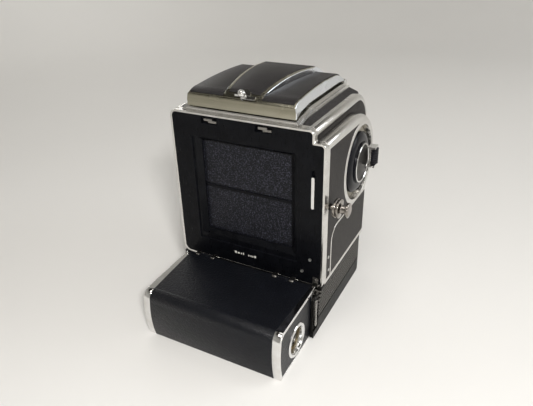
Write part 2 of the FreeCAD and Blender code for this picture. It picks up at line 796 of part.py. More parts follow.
def make_box_hinge():
    """Fixed knuckles and pins, screwed to the frame's lower edge."""
    solids = []
    for across in HINGE_PLACES:
        pin = rod("x", (across - 7, d.box_hinge_along, d.box_hinge_up), 0.8, 14)
        lugs = []
        for left in (across - 7, across + 4.2):
            lugs.append(rod("x", (left, d.box_hinge_along, d.box_hinge_up), 1.6, 2.8))
            size = (2.8, d.box_hinge_along - d.rear_face, 3)
            lugs.append(block((left, d.rear_face, d.box_hinge_up - 1.6), size))
        solids.append(fuse(pin, *lugs))
    bracket = fuse(
        block((-49.3, d.rear_face, 30.2), (3.6, 0.9, 6)), rod("y", (-47.5, d.rear_face + 0.9, 34.2), 1.2, 0.4)
    )
    part("box_hinge", group(*solids, bracket))


def make_latch():
    along, up = number(d.lever_along), number(d.lever_up)
    outline = [
        (along - 1.4, up + 0), ((along, up + 1.4), (along + 1.4, up)), (along + 0.9, up - 10),
        (along + 1.3, up - 16), ((along, up - 17.4), (along - 1.3, up - 16)), (along - 0.9, up - 10),
    ]
    arm = pad("yz", outline, -51.4, 1.1)
    part("latch_lever", cut(arm, rod("x", (-52, d.lever_along, d.lever_up), 0.65, 4)))


# ---------------------------------------------------------------- hood

def lid_outline(rise, inset=0):
    """Side view of the lid: straight rear wall, long crowned top, front that curves down to the hinge."""
    top = rise - inset
    return [
        (34 - inset, 127.7), (34 - inset, 134.5 + top), ((31.4 - inset * 0.7, 136 + top), (26, 136.9 + top)),
        ((2, 138.1 + top), (-24, 137.2 + top)), ((-31.6 + inset * 0.7, 134.8 + top), (-37 + inset, 130.9)),
        (-27, 132.1), (17, 132.1), (28, 130.6),
    ]


def ridge_outline(rise, inset=0):
    """Side view of the raised middle of the lid."""
    top = rise - inset
    return [
        (33.4 - inset, 133), (33.4 - inset, 134.9 + top), (27.4, 138.1 + top),
        ((6, 141.7 + top), (-20, 141.2 + top)), ((-30, 138.6 + top), (-35.2 + inset, 133.2)),
    ]


def ridge_plan(inset_left=0, inset_right=0):
    """Plan of the raised middle: narrow at the rear and wider to the front."""
    return [
        (10.4 - inset_left, 36), (-12 + inset_right, 36), (-21.2 + inset_right, -37), (17.6 - inset_left, -37),
    ]


def lid_section(inset):
    """Rear view of the lid, whose sides lean in a little towards its top."""
    left, right = number(d.hood_centre) - number(d.hood_half), number(d.hood_centre) + number(d.hood_half)
    return [
        (left + inset, 120), (right - inset, 120), (right - inset, 131.5), (right - 1.3 - inset, 139),
        (left + 1.3 + inset, 139), (left + inset, 131.5),
    ]


def make_hood_lid():
    left, wide = d.hood_centre - d.hood_half, d.hood_half * 2
    shell = fuse(
        common(pad("yz", lid_outline(0), left, wide), pad("xz", lid_section(0), 45, 100)),
        common(pad("yz", ridge_outline(0), -30, 60), pad("xy", ridge_plan(), 130, 20)),
        rod("x", (-19.6, d.hinge_along, d.hinge_up), d.hinge_radius, 40),
    )
    hollow = pad(
        "yz",
        [(31.6, 120), (31.6, 133.4), ((30, 134.4), (25.5, 135)), ((2, 136), (-24, 135.2)),
         ((-29.6, 133.2), (-33, 131)), (-33, 120)],
        left + 2.2, wide - 4.4,
    )
    barrels = [
        rod("x", (start, d.hinge_along, d.hinge_up), d.hinge_radius + 0.15, 16) for start in (-35.9, 19.8)
    ]
    bore = rod("x", (-40, d.hinge_along, d.hinge_up), d.hinge_pin_radius + d.fit_gap, 80)
    stem = catch_rod(1.05, -2.6, 8)
    lid = part("hood_lid", cut(shell, hollow, *barrels, bore, stem))
    raised = common(pad("yz", lid_outline(0.7), left, wide), pad("xz", lid_section(1), 45, 100))
    side_top = cut(raised, lid, pad("yz", lid_outline(0), left, wide),
                   pad("xy", [(10.5, 40), (-12.1, 40), (-21.4, -40), (17.8, -40)], 120, 40),
                   block((-40, 32.6, 120), (80, 10, 30)), block((-40, -50, 120), (80, 18.5, 40)),
                   block((-40, -60, 120), (80, 120, 13.5)))
    part("lid_leather_sides", side_top)
    centre = cut(
        common(pad("yz", ridge_outline(0.35), -30, 60), pad("xy", ridge_plan(2.1, 2.6), 130, 20)),
        lid, pad("yz", ridge_outline(0), -30, 60), pad("yz", lid_outline(0.75), left, wide),
        block((-40, 32.7, 120), (80, 10, 30)), block((-40, -50, 120), (80, 18.5, 40)), catch_rod(5.2, -6, 12),
    )
    part("lid_leather_centre", centre)


CATCH_TILT = 60.5
CATCH_AT = (-1.2, 32, 136.2)


def catch_rod(radius, start, length):
    """A rod along the catch's tilted axis, which points up and to the rear."""
    tilt = math.radians(CATCH_TILT)
    axis = FreeCAD.Vector(0, math.cos(tilt), math.sin(tilt))
    obj = doc.addObject("Part::Cylinder", "tilted")
    obj.Radius = radius
    obj.Height = length
    base = FreeCAD.Vector(*CATCH_AT) + axis * start
    obj.Placement = FreeCAD.Placement(base, FreeCAD.Rotation(FreeCAD.Vector(0, 0, 1), axis))
    return obj


def make_hood_catch():
    tilt = math.radians(CATCH_TILT)
    axis = FreeCAD.Vector(0, math.cos(tilt), math.sin(tilt))
    turn = FreeCAD.Rotation(FreeCAD.Vector(0, 0, 1), axis)
    arm = doc.addObject("Part::Box", "arm")
    arm.Length, arm.Width, arm.Height = 8.5, 2.2, 0.9
    arm.Placement = FreeCAD.Placement(
        FreeCAD.Vector(*CATCH_AT) + axis * 0.35 + turn.multVec(FreeCAD.Vector(-8.5, 0.2, 0)), turn
    )
    knob = doc.addObject("Part::Sphere", "knob")
    knob.Radius = 2.1
    knob.Placement = FreeCAD.Placement(FreeCAD.Vector(*CATCH_AT) + axis * 2.4, turn)
    half_disc = cut(catch_rod(4.7, 0.35, 0.9), block((-10, 32.6, 120), (20, 10, 40)))
    part("hood_catch", fuse(half_disc, catch_rod(1, -2.2, 3), arm, knob))


HOOD_CREST = [(34.4, 126.7), (34, 127.3), (29, 128.9), (17, 130.8), (-27, 130.8), (-36, 129.9)]


def make_hood_base():
    """Four walls around the viewing well, the long ones with a lower moulding along their outside."""
    left, wide = d.hood_centre - d.hood_half - 0.7, d.hood_half * 2 + 1.4
    side = [(34.4, 125.3)] + HOOD_CREST + [
        (-36, 127.4), (-40.6, 127.4), (-40.6, 122.9), (-36.4, 124.4), (-36.4, 125.3),
    ]
    lower = [(34.4, 123)] + [(along, up - 1.2) for along, up in HOOD_CREST] + [(-36, 123)]
    walls = fuse(
        pad("yz", side, left, wide),
        pad("yz", lower, left - d.hood_moulding, wide + d.hood_moulding * 2),
    )
    well = block((-31, -33.2, 118), (62.8, 62.6, 20))
    ledges = [block((start, -31, 127.4), (2.3, 60, 4.15)) for start in (-30.9, 29.4)]
    lugs = [
        fuse(rod("x", (start, d.hinge_along, d.hinge_up), d.hinge_radius, long),
             block((start, d.hinge_along - 1.9, 124), (long, 3.8, d.hinge_up - 124)))
        for start, long in ((-33.4, 13.4), (20.6, 13.4))
    ]
    pin = rod("x", (-33.4, d.hinge_along, d.hinge_up), d.hinge_pin_radius, 67.4)
    deck = pad("yz", deck_solid_outline(), -46, 92)
    knuckle_room = rod("x", (-20, d.hinge_along, d.hinge_up), d.hinge_radius + 0.15, 40.6)
    front_room = block((-20, -41, 127.3), (40.6, 5.2, 6))
    frame = cut(fuse(cut(walls, well, front_room), *lugs), pin, knuckle_room, deck)
    zones = [
        block((-45, -45, 118), (90, 11.8, 20)), block((-45, -33.2, 118), (14, 70, 20)),
        block((31.8, -33.2, 118), (14, 70, 20)), block((-31, 29.4, 118), (62.8, 8, 20)),
    ]
    part("hood_base", group(*[common(frame, zone) for zone in zones], *ledges))
    part("hood_hinge_pin", rod("x", (-33.4, d.hinge_along, d.hinge_up), d.hinge_pin_radius, 67.4))


def deck_solid_outline():
    top, front, knee, middle = deck_outline(0)
    return [(40, 100), (40, top), (knee, top), (middle, (front, 104)), (front, 100)]


def make_skirts():
    """Leather-covered slopes between the hood and the deck's shoulder."""
    outline = [
        (31.5, 125.3), ((20, 127.6), (6, 128.3)), ((-14, 128.6), (-36, 127.6)), (-44.5, 119), (31.5, 119),
    ]
    inner = number(d.hood_half) + 0.7 + number(d.hood_moulding)
    centre = number(d.hood_centre)
    solids = []
    for side in (-1, 1):
        edge = centre + side * inner
        section = [(edge, 127.7), (edge + side * 4.6, 124.6), (edge + side * 4.6, 118), (edge, 118)]
        wedge = common(pad("yz", outline, -46, 92), pad("xz", section, 45, 100))
        solids.append(cut(wedge, pad("yz", deck_solid_outline(), -46, 92)))
    part("hood_skirts", group(*solids))


def make_flaps():
    reach, half, rear = number(d.flap_reach), number(d.flap_hinge_half), number(d.flap_hinge_rear)
    centre = number(d.hood_centre)
    for side, label in ((-1, "hood_flap_right"), (1, "hood_flap_left")):
        edge = centre + side * half
        tip = edge - side * reach
        plan = [(edge, -30.2), (edge, rear - 0.5), (tip, rear - 0.5 - reach), (tip, -30.2 + reach)]
        part(label, pad("xy", plan, d.flap_up, d.flap_thick))
    plan = [
        (centre - half + 0.9, rear), (centre + half - 0.9, rear), (centre + half - 0.9 - reach, rear - reach),
        (centre - half + 0.9 + reach, rear - reach),
    ]
    part("hood_flap_rear", pad("xy", plan, d.flap_up, d.flap_thick))
    part("focusing_screen", block((-29.5, -29.9, 118.1), (59.8, 55.8, 3.2)))


def make_magnifier():
    lid = [obj for obj in parts if obj.Label == "hood_lid"][0]
    arm = cut(
        fuse(
            block((-9, -4, 134.3), (18.8, 26, 0.8)), rod("z", (0.4, 6, 133.4), 11.4, 1.7),
            block((-9, 19.5, 134.3), (18.8, 2.5, 4)),
        ),
        rod("z", (0.4, 6, 130), 9.6, 8), lid,
    )
    part("magnifier_arm", arm)
    lens = lens_outline(132.9, 0.7, 9.55) + [(135, 9.55), (135, 0)]
    part("magnifier_lens", turned("z", lens, (0.4, 6, 0)))


# ---------------------------------------------------------------- lens, mirror and controls

def lens_outline(front, sag, radius, steps=8):
    """Half the outline of a domed glass face, from its middle to its rim."""
    rise = [(front + sag * (step / steps) ** 2, radius * step / steps) for step in range(1, steps + 1)]
    return [(front, 0), (front, rise[0][1])] + rise[1:]


def make_lens():
    at = (d.axis_across, 0, d.axis_up)
    front, box = number(d.lens_front), number(d.box_front)
    mount = [(-box, 24.15), (-box, 30), (-box - 3.6, 30), (-box - 4.8, 28.8), (-box - 4.8, 24.15)]
    part("lens_mount", turned("y", mount, at))
    barrel = [
        (-46, 19), (-46, 24), (-box - 5, 24), (-box - 5, 27), (-57.6, 27), (-57.6, 25), (-76.4, 25),
        (-76.4, 26.4),
        (-front, 26.4), (-front, 24.5), (-front + 4, 24.5), (-front + 4, 22), (-front + 7.5, 19),
    ]
    part("lens_barrel", turned("y", barrel, at))
    centre = (number(d.axis_across), number(d.axis_up))
    sleeve = rod("y", (d.axis_across, -90, d.axis_up), 25.06, 60)
    grip = pad("xz", fluted(29, 30, 0.9, centre), -58, 9.4)
    part("focus_ring", cut(grip, sleeve))
    ring = pad("xz", fluted(27.6, 40, 0.5, centre), -68, 7.8)
    part("aperture_ring", cut(ring, rod("y", (d.axis_across, -90, d.axis_up), 25.06, 60)))
    front_glass = turned("y", lens_outline(-76, 3, 18.95) + [(-69, 18.95), (-69, 0)], at)
    rear_glass = turned("y", lens_outline(-53, 1.5, 18.95) + [(-49.5, 18.95), (-49.5, 0)], at)
    part("lens_glass", group(front_glass, rear_glass))


def make_mirror():
    along, up = number(d.mirror_pivot_along), number(d.mirror_pivot_up)
    half = math.sqrt(0.5)

    def point(reach, height):
        return (along - half * reach - half * height, up - half * reach + half * height)

    left = d.axis_across - d.mirror_half
    wide = d.mirror_half * 2
    long = number(d.mirror_long)
    tray = [point(0.5, -1.1), point(long, -1.1), point(long, 0.4), point(0.5, 0.4)]
    start = (d.axis_across - d.chamber_half - 2.6, d.mirror_pivot_along, d.mirror_pivot_up)
    hub = rod("x", start, 1, d.chamber_half * 2 + 5.2)
    barrel = rod("x", (left, d.mirror_pivot_along, d.mirror_pivot_up), 1.4, wide)
    part("mirror_tray", fuse(pad("yz", tray, left, wide), hub, barrel))
    glass = [point(3, 0.4), point(long - 1, 0.4), point(long - 1, 1.8), point(3, 1.8)]
    part("mirror_glass", pad("yz", glass, left + 1, wide - 2))


def make_left_side():
    holes = [((-10, 92), 3.2)] + [(place, 3.4) for place in SOCKET_PLACES]
    skin = pad(
        "yz", soft_corners(rectangle((-33, 31.5), (31.5, 119.5)), [6] * 4), d.body_half - d.skin, d.skin,
        circles=holes,
    )
    part("left_leather", skin)
    dial = [
        (number(d.body_half) - 7, 0), (number(d.body_half) - 7, 3), (45.4, 3), (45.4, 14), (49.6, 14),
        (50.6, 13), (50.6, 9), (50.1, 9), (50.1, 0),
    ]
    part("speed_dial", turned("x", dial, (0, -10, 92)))
    sockets = []
    for along, up in SOCKET_PLACES:
        body = [
            (44.2, 0), (44.2, 3.4), (45.2, 3.4), (45.2, 4.2), (46, 4.2), (46, 3.3), (48.8, 3.3), (48.8, 1.8),
            (45.4, 1.8), (45.4, 0.6), (48.2, 0.6), (48.2, 0),
        ]
        sockets.append(turned("x", body, (0, along, up)))
    part("sync_sockets", group(*sockets))


SOCKET_PLACES = ((-26, 44), (-26, 56))


def make_front():
    outline = soft_corners(rectangle((-44, 61.5), (43.2, 103.5)), [3] * 4)
    skin = pad("xz", outline, -d.box_front, d.skin)
    part("front_leather", cut(skin, rod("y", (d.axis_across, -60, d.axis_up), d.mount_radius + 0.3, 30)))
    button = [
        (-29.2, 0), (-29.2, 4), (-foot() - 3.4, 4), (-foot() - 4, 3.4), (-foot() - 4, 1.3), (-foot(), 1.3),
        (-foot(), 0),
    ]
    part("release_button", turned("y", button, (-30, 0, 37)))


def foot():
    return number(d.foot_front)


for make in (
    make_mirror_box, make_rear_frame, make_frame_fittings, make_shutter, make_top_deck, make_side_housing,
    make_wind_knob, make_pull_knob, make_base, make_film_box, make_box_hinge, make_latch, make_hood_lid,
    make_hood_catch, make_hood_base, make_skirts, make_flaps, make_magnifier, make_lens, make_mirror,
    make_left_side, make_front,
):
    make()

doc.recompute()

broken = [obj.Name for obj in doc.Objects if "Invalid" in obj.State or "Error" in obj.State]
if broken:
    raise RuntimeError(f"features that failed: {broken}")
for obj in parts:
    if obj.Shape.isNull() or not obj.Shape.isValid() or not obj.Shape.Solids:
        raise RuntimeError(f"{obj.Label} has no valid solid")

os.makedirs("parts", exist_ok=True)
for obj in parts:
    obj.Shape.exportStep(f"parts/{obj.Label}.step")
print(len(parts), "sub-parts")
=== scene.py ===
import math

import bmesh
import bpy
from mathutils import Matrix, Vector, noise


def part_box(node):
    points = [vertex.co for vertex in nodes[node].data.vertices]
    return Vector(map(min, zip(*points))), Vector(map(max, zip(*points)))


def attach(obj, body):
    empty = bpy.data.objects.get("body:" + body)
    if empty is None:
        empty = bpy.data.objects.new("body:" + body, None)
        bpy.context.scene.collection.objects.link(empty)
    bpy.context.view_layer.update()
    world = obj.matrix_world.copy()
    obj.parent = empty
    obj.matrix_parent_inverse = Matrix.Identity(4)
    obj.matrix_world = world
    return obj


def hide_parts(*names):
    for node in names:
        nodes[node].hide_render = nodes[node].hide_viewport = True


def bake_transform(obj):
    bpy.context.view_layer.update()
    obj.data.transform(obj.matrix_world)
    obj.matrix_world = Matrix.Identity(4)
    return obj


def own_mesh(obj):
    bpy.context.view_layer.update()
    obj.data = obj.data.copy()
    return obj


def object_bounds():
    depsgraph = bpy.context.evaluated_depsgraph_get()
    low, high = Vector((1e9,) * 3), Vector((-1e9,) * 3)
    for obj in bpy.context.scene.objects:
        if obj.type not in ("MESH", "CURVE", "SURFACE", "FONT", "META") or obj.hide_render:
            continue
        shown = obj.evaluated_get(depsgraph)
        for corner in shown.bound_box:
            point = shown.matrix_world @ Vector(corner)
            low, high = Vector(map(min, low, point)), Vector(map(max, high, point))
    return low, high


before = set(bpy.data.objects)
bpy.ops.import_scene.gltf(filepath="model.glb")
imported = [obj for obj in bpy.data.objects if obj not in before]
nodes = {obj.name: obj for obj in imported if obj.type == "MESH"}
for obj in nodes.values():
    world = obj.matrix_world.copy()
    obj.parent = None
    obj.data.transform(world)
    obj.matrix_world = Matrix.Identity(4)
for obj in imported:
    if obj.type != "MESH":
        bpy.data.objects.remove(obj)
cad_box = [list(corner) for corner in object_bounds()]

MM = 0.001


def box_in_mm(name):
    """A CAD node's box at rest as two corners in millimetres."""
    low, high = (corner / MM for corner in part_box(name))
    return low, high


def middle_of(name):
    """The middle of a CAD node's box, and its two corners, in millimetres."""
    low, high = box_in_mm(name)
    return (low + high) / 2, low, high


# ---------------------------------------------------------------- node trees

class Finish:
    """A material under construction. Lengths in its textures are millimetres in the piece's own space."""

    def __init__(self, name, colour, roughness, metallic=0.0, **inputs):
        self.material = bpy.data.materials.new(name)
        self.material.use_nodes = True
        self.tree = self.material.node_tree
        self.shader = self.tree.nodes["Principled BSDF"]
        self.feed(self.shader, "Base Color", colour)
        self.feed(self.shader, "Roughness", roughness)
        self.feed(self.shader, "Metallic", metallic)
        for key, value in inputs.items():
            self.feed(self.shader, key.replace("_", " "), value)
        self.space = self.node("Mapping", Scale=(1 / MM, 1 / MM, 1 / MM))
        texture_space = self.tree.nodes.new("ShaderNodeTexCoord")
        self.feed(self.space, "Vector", texture_space.outputs["Object"])

    def feed(self, node, socket, value):
        """Sets an input to a number or colour, or joins another node's output to it."""
        if isinstance(value, bpy.types.NodeSocket):
            self.tree.links.new(value, node.inputs[socket])
            return
        target = node.inputs[socket]
        if hasattr(target.default_value, "__len__") and len(target.default_value) == 4:
            value = (*value[:3], 1)
        target.default_value = value

    def node(self, kind, **inputs):
        made = self.tree.nodes.new("ShaderNode" + kind)
        for key, value in inputs.items():
            self.feed(made, key.replace("_", " "), value)
        return made

    def stretched(self, stretch):
        """The piece's space, with its features drawn out where a component is small."""
        return self.node("Mapping", Vector=self.space.outputs[0], Scale=stretch).outputs[0]

    def noise(self, scale, detail=3.0, roughness=0.55, stretch=(1, 1, 1)):
        """Fractal noise; scale is the number of its features in a millimetre."""
        made = self.node("TexNoise", Vector=self.stretched(stretch), Scale=scale, Detail=detail,
                         Roughness=roughness)
        return made.outputs["Fac"]

    def cells(self, scale, wander, feature="SMOOTH_F1"):
        """Voronoi cells; wander shifts them by noise so that they don't look like a grid."""
        vector = self.stretched((1, 1, 1))
        shift = self.node("TexNoise", Vector=vector, Scale=scale * 0.8, Detail=2.0)
        offset = self.node("VectorMath", Vector=shift.outputs["Color"])
        offset.operation = "SCALE"
        offset.inputs["Scale"].default_value = wander
        moved = self.node("VectorMath", Vector=vector)
        self.tree.links.new(offset.outputs[0], moved.inputs[1])
        made = self.tree.nodes.new("ShaderNodeTexVoronoi")
        made.feature = feature
        self.feed(made, "Vector", moved.outputs[0])
        self.feed(made, "Scale", scale)
        return made.outputs["Distance"]

    def math(self, operation, first, second=0.0):
        made = self.tree.nodes.new("ShaderNodeMath")
        made.operation = operation
        for index, value in enumerate((first, second)):
            if isinstance(value, bpy.types.NodeSocket):
                self.tree.links.new(value, made.inputs[index])
            else:
                made.inputs[index].default_value = value
        return made.outputs[0]

    def between(self, value, low, high, from_low=0.3, from_high=0.7):
        """A value's range, by default a texture's middle, spread over the range from low to high."""
        made = self.node("MapRange", Value=value)
        limits = {"From Min": from_low, "From Max": from_high, "To Min": low, "To Max": high}
        for key, number in limits.items():
            self.feed(made, key, number)
        return made.outputs["Result"]

    def mix(self, factor, first, second):
        """Two colours mixed; the node's sockets for colours are the ones numbered below."""
        factor_in, first_in, second_in, colour_out = 0, 6, 7, 2
        made = self.tree.nodes.new("ShaderNodeMix")
        made.data_type = "RGBA"
        for index, value in ((factor_in, factor), (first_in, first), (second_in, second)):
            self.feed(made, index, value)
        return made.outputs[colour_out]

    def bump(self, *layers):
        """Each layer is (height, depth in mm, strength), the finest last."""
        normal = None
        for height, depth, strength in layers:
            made = self.node("Bump", Height=height, Distance=depth * MM, Strength=strength)
            if normal is not None:
                self.feed(made, "Normal", normal)
            normal = made.outputs[0]
        self.feed(self.shader, "Normal", normal)

    def edge(self, radius, low, high):
        """1 along outer edges, 0 on the faces: where handling wears an edge, and where a bevel takes a
        painted highlight.
        """
        rounded = self.node("Bevel", Radius=radius * MM)
        rounded.samples = 4
        plain = self.tree.nodes.new("ShaderNodeNewGeometry")
        dot = self.node("VectorMath")
        dot.operation = "DOT_PRODUCT"
        self.tree.links.new(rounded.outputs[0], dot.inputs[0])
        self.tree.links.new(plain.outputs["Normal"], dot.inputs[1])
        return self.between(dot.outputs["Value"], 1.0, 0.0, low, high)


# ---------------------------------------------------------------- finishes

def scaled(colour, times, lift=0.0):
    """A colour made darker or lighter by a factor, then lifted by an amount."""
    return tuple(part * times + lift for part in colour)


def plated(name, colour, shadow, roughness, drawn=(1, 1, 1), lines=0.012, smudge=0.12, flank_reflection=None):
    """Nickel or chrome plate: fine drawn lines one way and handling smudges; on faces turned along X the
    flank colour is a painted reflection, lighter and bluer.
    """
    finish = Finish(name, colour, roughness, metallic=1.0)
    cloud = finish.noise(0.09, 4.0)
    fine = finish.noise(3.0, 2.0, stretch=drawn)
    tint = finish.between(finish.noise(0.25, 3.0, stretch=drawn), 0.0, 1.0)
    base = finish.mix(tint, colour, shadow)
    # Painted reflection: faces turned along X take the lighter, bluer flank colour.
    if flank_reflection:
        plain_normal = finish.tree.nodes.new("ShaderNodeNewGeometry")
        split = finish.node("SeparateXYZ", Vector=plain_normal.outputs["Normal"])
        sideways = finish.math("ABSOLUTE", split.outputs["X"])
        base = finish.mix(finish.between(sideways, 0.0, 1.0, 0.35, 0.7), base, flank_reflection)
    finish.feed(finish.shader, "Base Color", base)
    streak = finish.math("MULTIPLY", finish.math("SUBTRACT", fine, 0.5), smudge)
    patch = finish.between(cloud, 0.0, smudge, 0.45, 0.75)
    rough = finish.math("ADD", finish.math("ADD", streak, patch), roughness)
    finish.feed(finish.shader, "Roughness", finish.math("MAXIMUM", rough, 0.03))
    finish.bump((finish.noise(0.05, 1.0), 0.25, 0.12), (fine, lines, 0.2))
    return finish.material


def plated_cup(name, node, rim, outside, shaded_inside):
    """Plate outside and on the rim, and further in a duller brassy face, darkened as painted shade in the
    cup: rim is its width in mm.
    """
    middle, low, high = middle_of(node)
    rim_start = (high.z - low.z) / 2 - rim
    fade = 0.15
    finish = Finish(name, outside, 0.1, metallic=1.0)
    offset = finish.node("VectorMath", Vector=finish.space.outputs[0])
    offset.operation = "SUBTRACT"
    offset.inputs[1].default_value = middle
    across = finish.node("Mapping", Vector=offset.outputs[0], Scale=(0, 1, 1))
    length = finish.node("VectorMath", Vector=across.outputs[0])
    length.operation = "LENGTH"
    inner = finish.between(length.outputs["Value"], 1.0, 0.0, rim_start - fade, rim_start + fade)
    haze = finish.noise(0.5, 4.0)
    # Painted shade: within the rim the brassy colour is darkened as the shade in the cup.
    shaded_lining = finish.mix(finish.between(haze, 0.0, 1.0), shaded_inside, scaled(shaded_inside, 0.45))
    finish.feed(finish.shader, "Base Color", finish.mix(inner, outside, shaded_lining))
    dull = finish.between(inner, 0.08, 0.3, 0, 1)
    finish.feed(finish.shader, "Roughness", finish.math("ADD", dull, finish.between(haze, -0.03, 0.06)))
    finish.bump((finish.noise(2.0, 2.0, stretch=(0.3, 1, 1)), 0.003, 0.3))
    return finish.material


def enamel(name, colour, roughness, edge_lightening=0.35, orange_peel=0.02, coat=0.08, wear_and_glint_colour=(0.16, 0.155, 0.15),
           ribs=None, crest=None, least=0.0):
    """Black stove enamel: slight orange peel, dust, and lighter edges, partly wear from handling and partly a
    painted highlight on the bevels.

    ribs is (height of the lowest rib, pitch, number, thickness, rear end) in mm: their faces take the crest
    colour, the grooves between them keep the darker colour as painted shade, and a painted highlight runs all
    along their upper edges.
    """
    finish = Finish(name, colour, roughness, Coat_Weight=coat, Coat_Roughness=0.2, Specular_IOR_Level=0.09)
    cloud = finish.noise(0.16, 4.0)
    scuff = finish.noise(1.7, 3.0, stretch=(1, 1, 0.12))
    patchy = finish.between(cloud, least, edge_lightening, 0.35, 0.7)
    # Lighter edges: partly wear from handling, partly a painted highlight where the bevels catch the light.
    wear_and_glint = finish.math("MULTIPLY", finish.edge(0.35, 0.82, 0.985), patchy)
    base = finish.mix(finish.between(cloud, 0.0, 1.0), colour, scaled(colour, 1.7, 0.001))
    if ribs:
        lowest, pitch, number, thickness, rear_end = ribs
        place = finish.node("SeparateXYZ", Vector=finish.space.outputs[0])
        steps = finish.math("DIVIDE", finish.math("SUBTRACT", place.outputs["Z"], lowest), pitch)
        phase = finish.math("FRACT", steps)
        above_first = finish.math("GREATER_THAN", steps, 0.0)
        below_last = finish.math("MULTIPLY", above_first, finish.math("LESS_THAN", steps, number))
        before_end = finish.math("LESS_THAN", place.outputs["Y"], rear_end)
        ribbed = finish.math("MULTIPLY", below_last, before_end)
        edge = thickness / pitch
        edge_end, groove_start = edge + 0.01, edge + 0.05
        line_start, line_full = edge - 0.19, edge - 0.14
        # Painted shade: the grooves between the ribs keep the darker colour, the rib faces take the lighter
        # crest colour.
        groove = finish.math("MULTIPLY", ribbed, finish.between(phase, 0.0, 1.0, edge_end, groove_start))
        base = finish.mix(groove, crest, base)
        # Painted highlight: a light line along each rib's upper edge.
        over = finish.between(phase, 0.0, 1.0, line_start, line_full)
        under = finish.between(phase, 1.0, 0.0, edge_end, groove_start)
        rib_highlight = finish.math("MULTIPLY", ribbed, finish.math("MULTIPLY", over, under))
        wear_and_glint = finish.math("MAXIMUM", finish.math("MULTIPLY", wear_and_glint, 0.5), rib_highlight)
    finish.feed(finish.shader, "Base Color", finish.mix(wear_and_glint, base, wear_and_glint_colour))
    rough = finish.math("ADD", finish.between(scuff, -0.06, 0.1), roughness)
    finish.feed(finish.shader, "Roughness", rough)
    finish.bump((finish.noise(0.9, 2.0), orange_peel, 0.5), (finish.noise(7.0, 2.0), 0.004, 0.3))
    return finish.material


def leather(name, colour, valley, grain=2.3, depth=0.11, roughness=0.42, gloss=0.3):
    """Thin covering leather: small pebbles with darker valleys, larger folds and a dry bloom."""
    finish = Finish(name, colour, roughness, Specular_IOR_Level=gloss)
    pebble = finish.cells(grain, 0.55)
    crease = finish.cells(grain * 0.3, 0.8, "DISTANCE_TO_EDGE")
    pores = finish.noise(grain * 5.0, 3.0)
    cloud = finish.noise(0.07, 4.0)
    low = finish.between(pebble, 0.0, 1.0, 0.3, 0.95)
    tone = finish.mix(finish.between(cloud, 0.0, 1.0), colour, scaled(colour, 1.4))
    edge_lightening = finish.mix(finish.edge(0.3, 0.85, 0.99), tone, scaled(colour, 2.1))
    finish.feed(finish.shader, "Base Color", finish.mix(low, edge_lightening, valley))
    dull = finish.between(low, roughness, roughness + 0.16, 0, 1)
    finish.feed(finish.shader, "Roughness", finish.math("ADD", finish.between(pores, -0.06, 0.1), dull))
    height = finish.math("SUBTRACT", 1.0, pebble)
    folds = finish.between(crease, 0.0, 1.0, 0.0, 0.2)
    finish.bump((folds, depth * 0.6, 0.5), (height, depth, 0.9), (pores, 0.02, 0.4))
    return finish.material


def rubber_cloth(name):
    """Rubberised silk of the focal-plane curtains: a crossed weave under a crinkled matt coat, with bright
    specks painted on as the glints of its crinkles.
    """
    black = (0.0022, 0.0024, 0.0032)
    finish = Finish(name, black, 0.5, Specular_IOR_Level=0.2)
    crinkle = finish.cells(1.25, 0.7)
    warp = finish.noise(4.0, 2.0, stretch=(1, 1, 0.25))
    weft = finish.noise(4.0, 2.0, stretch=(0.25, 1, 1))
    weave = finish.math("ADD", finish.math("MULTIPLY", warp, 0.5), finish.math("MULTIPLY", weft, 0.5))
    # Painted highlights: bright bluish specks stand for the glints of the crinkled coat.
    speck_glint = finish.between(finish.noise(1.35, 3.0, 0.7), 0.0, 1.0, 0.53, 0.63)
    tone = finish.mix(finish.between(weave, 0.0, 1.0), black, (0.006, 0.0064, 0.009))
    finish.feed(finish.shader, "Base Color", finish.mix(speck_glint, tone, (0.052, 0.054, 0.074)))
    finish.feed(finish.shader, "Roughness", finish.between(crinkle, 0.4, 0.66, 0.2, 0.8))
    finish.bump((finish.math("SUBTRACT", 1.0, crinkle), 0.16, 0.9), (weave, 0.05, 0.7))
    return finish.material


def glossy_plastic(name, colour, roughness, scratch=0.006, gloss=0.5):
    """Moulded or turned black plastic: gloss broken by hairline scratches and finger grease."""
    finish = Finish(name, colour, roughness, Specular_IOR_Level=gloss)
    cloud = finish.noise(0.2, 4.0)
    hair = finish.noise(2.2, 2.0, stretch=(1, 0.08, 1))
    grease = finish.between(cloud, -0.03, 0.1)
    scratched = finish.between(hair, roughness, roughness + 0.05)
    finish.feed(finish.shader, "Roughness", finish.math("ADD", grease, scratched))
    tone = finish.mix(finish.between(cloud, 0.0, 1.0), colour, scaled(colour, 2, 0.002))
    finish.feed(finish.shader, "Base Color", tone)
    finish.bump((hair, scratch, 0.4), (finish.noise(9.0, 2.0), 0.003, 0.3))
    return finish.material


def coated_glass(name, tint, bloom):
    """Optical glass, with the bloom of its coating at a slant and a faint wipe mark."""
    roughness = 0.008
    finish = Finish(name, tint, roughness, Transmission_Weight=1.0, IOR=1.52, Specular_Tint=bloom)
    wipe = finish.noise(0.12, 3.0)
    smear = finish.noise(0.6, 3.0, stretch=(1, 1, 0.2))
    finish.feed(finish.shader, "Base Color", finish.mix(finish.between(smear, 0.0, 0.12), tint, bloom))
    finish.feed(finish.shader, "Roughness", finish.between(wipe, roughness, roughness + 0.03))
    return finish.material


def ground_glass(name):
    """The focusing screen: finely ground on its lower face."""
    finish = Finish(name, (0.75, 0.78, 0.76), 0.45, Transmission_Weight=0.6, IOR=1.5)
    frost = finish.noise(14.0, 3.0)
    finish.feed(finish.shader, "Roughness", finish.between(frost, 0.35, 0.6))
    finish.bump((frost, 0.02, 0.6))
    return finish.material


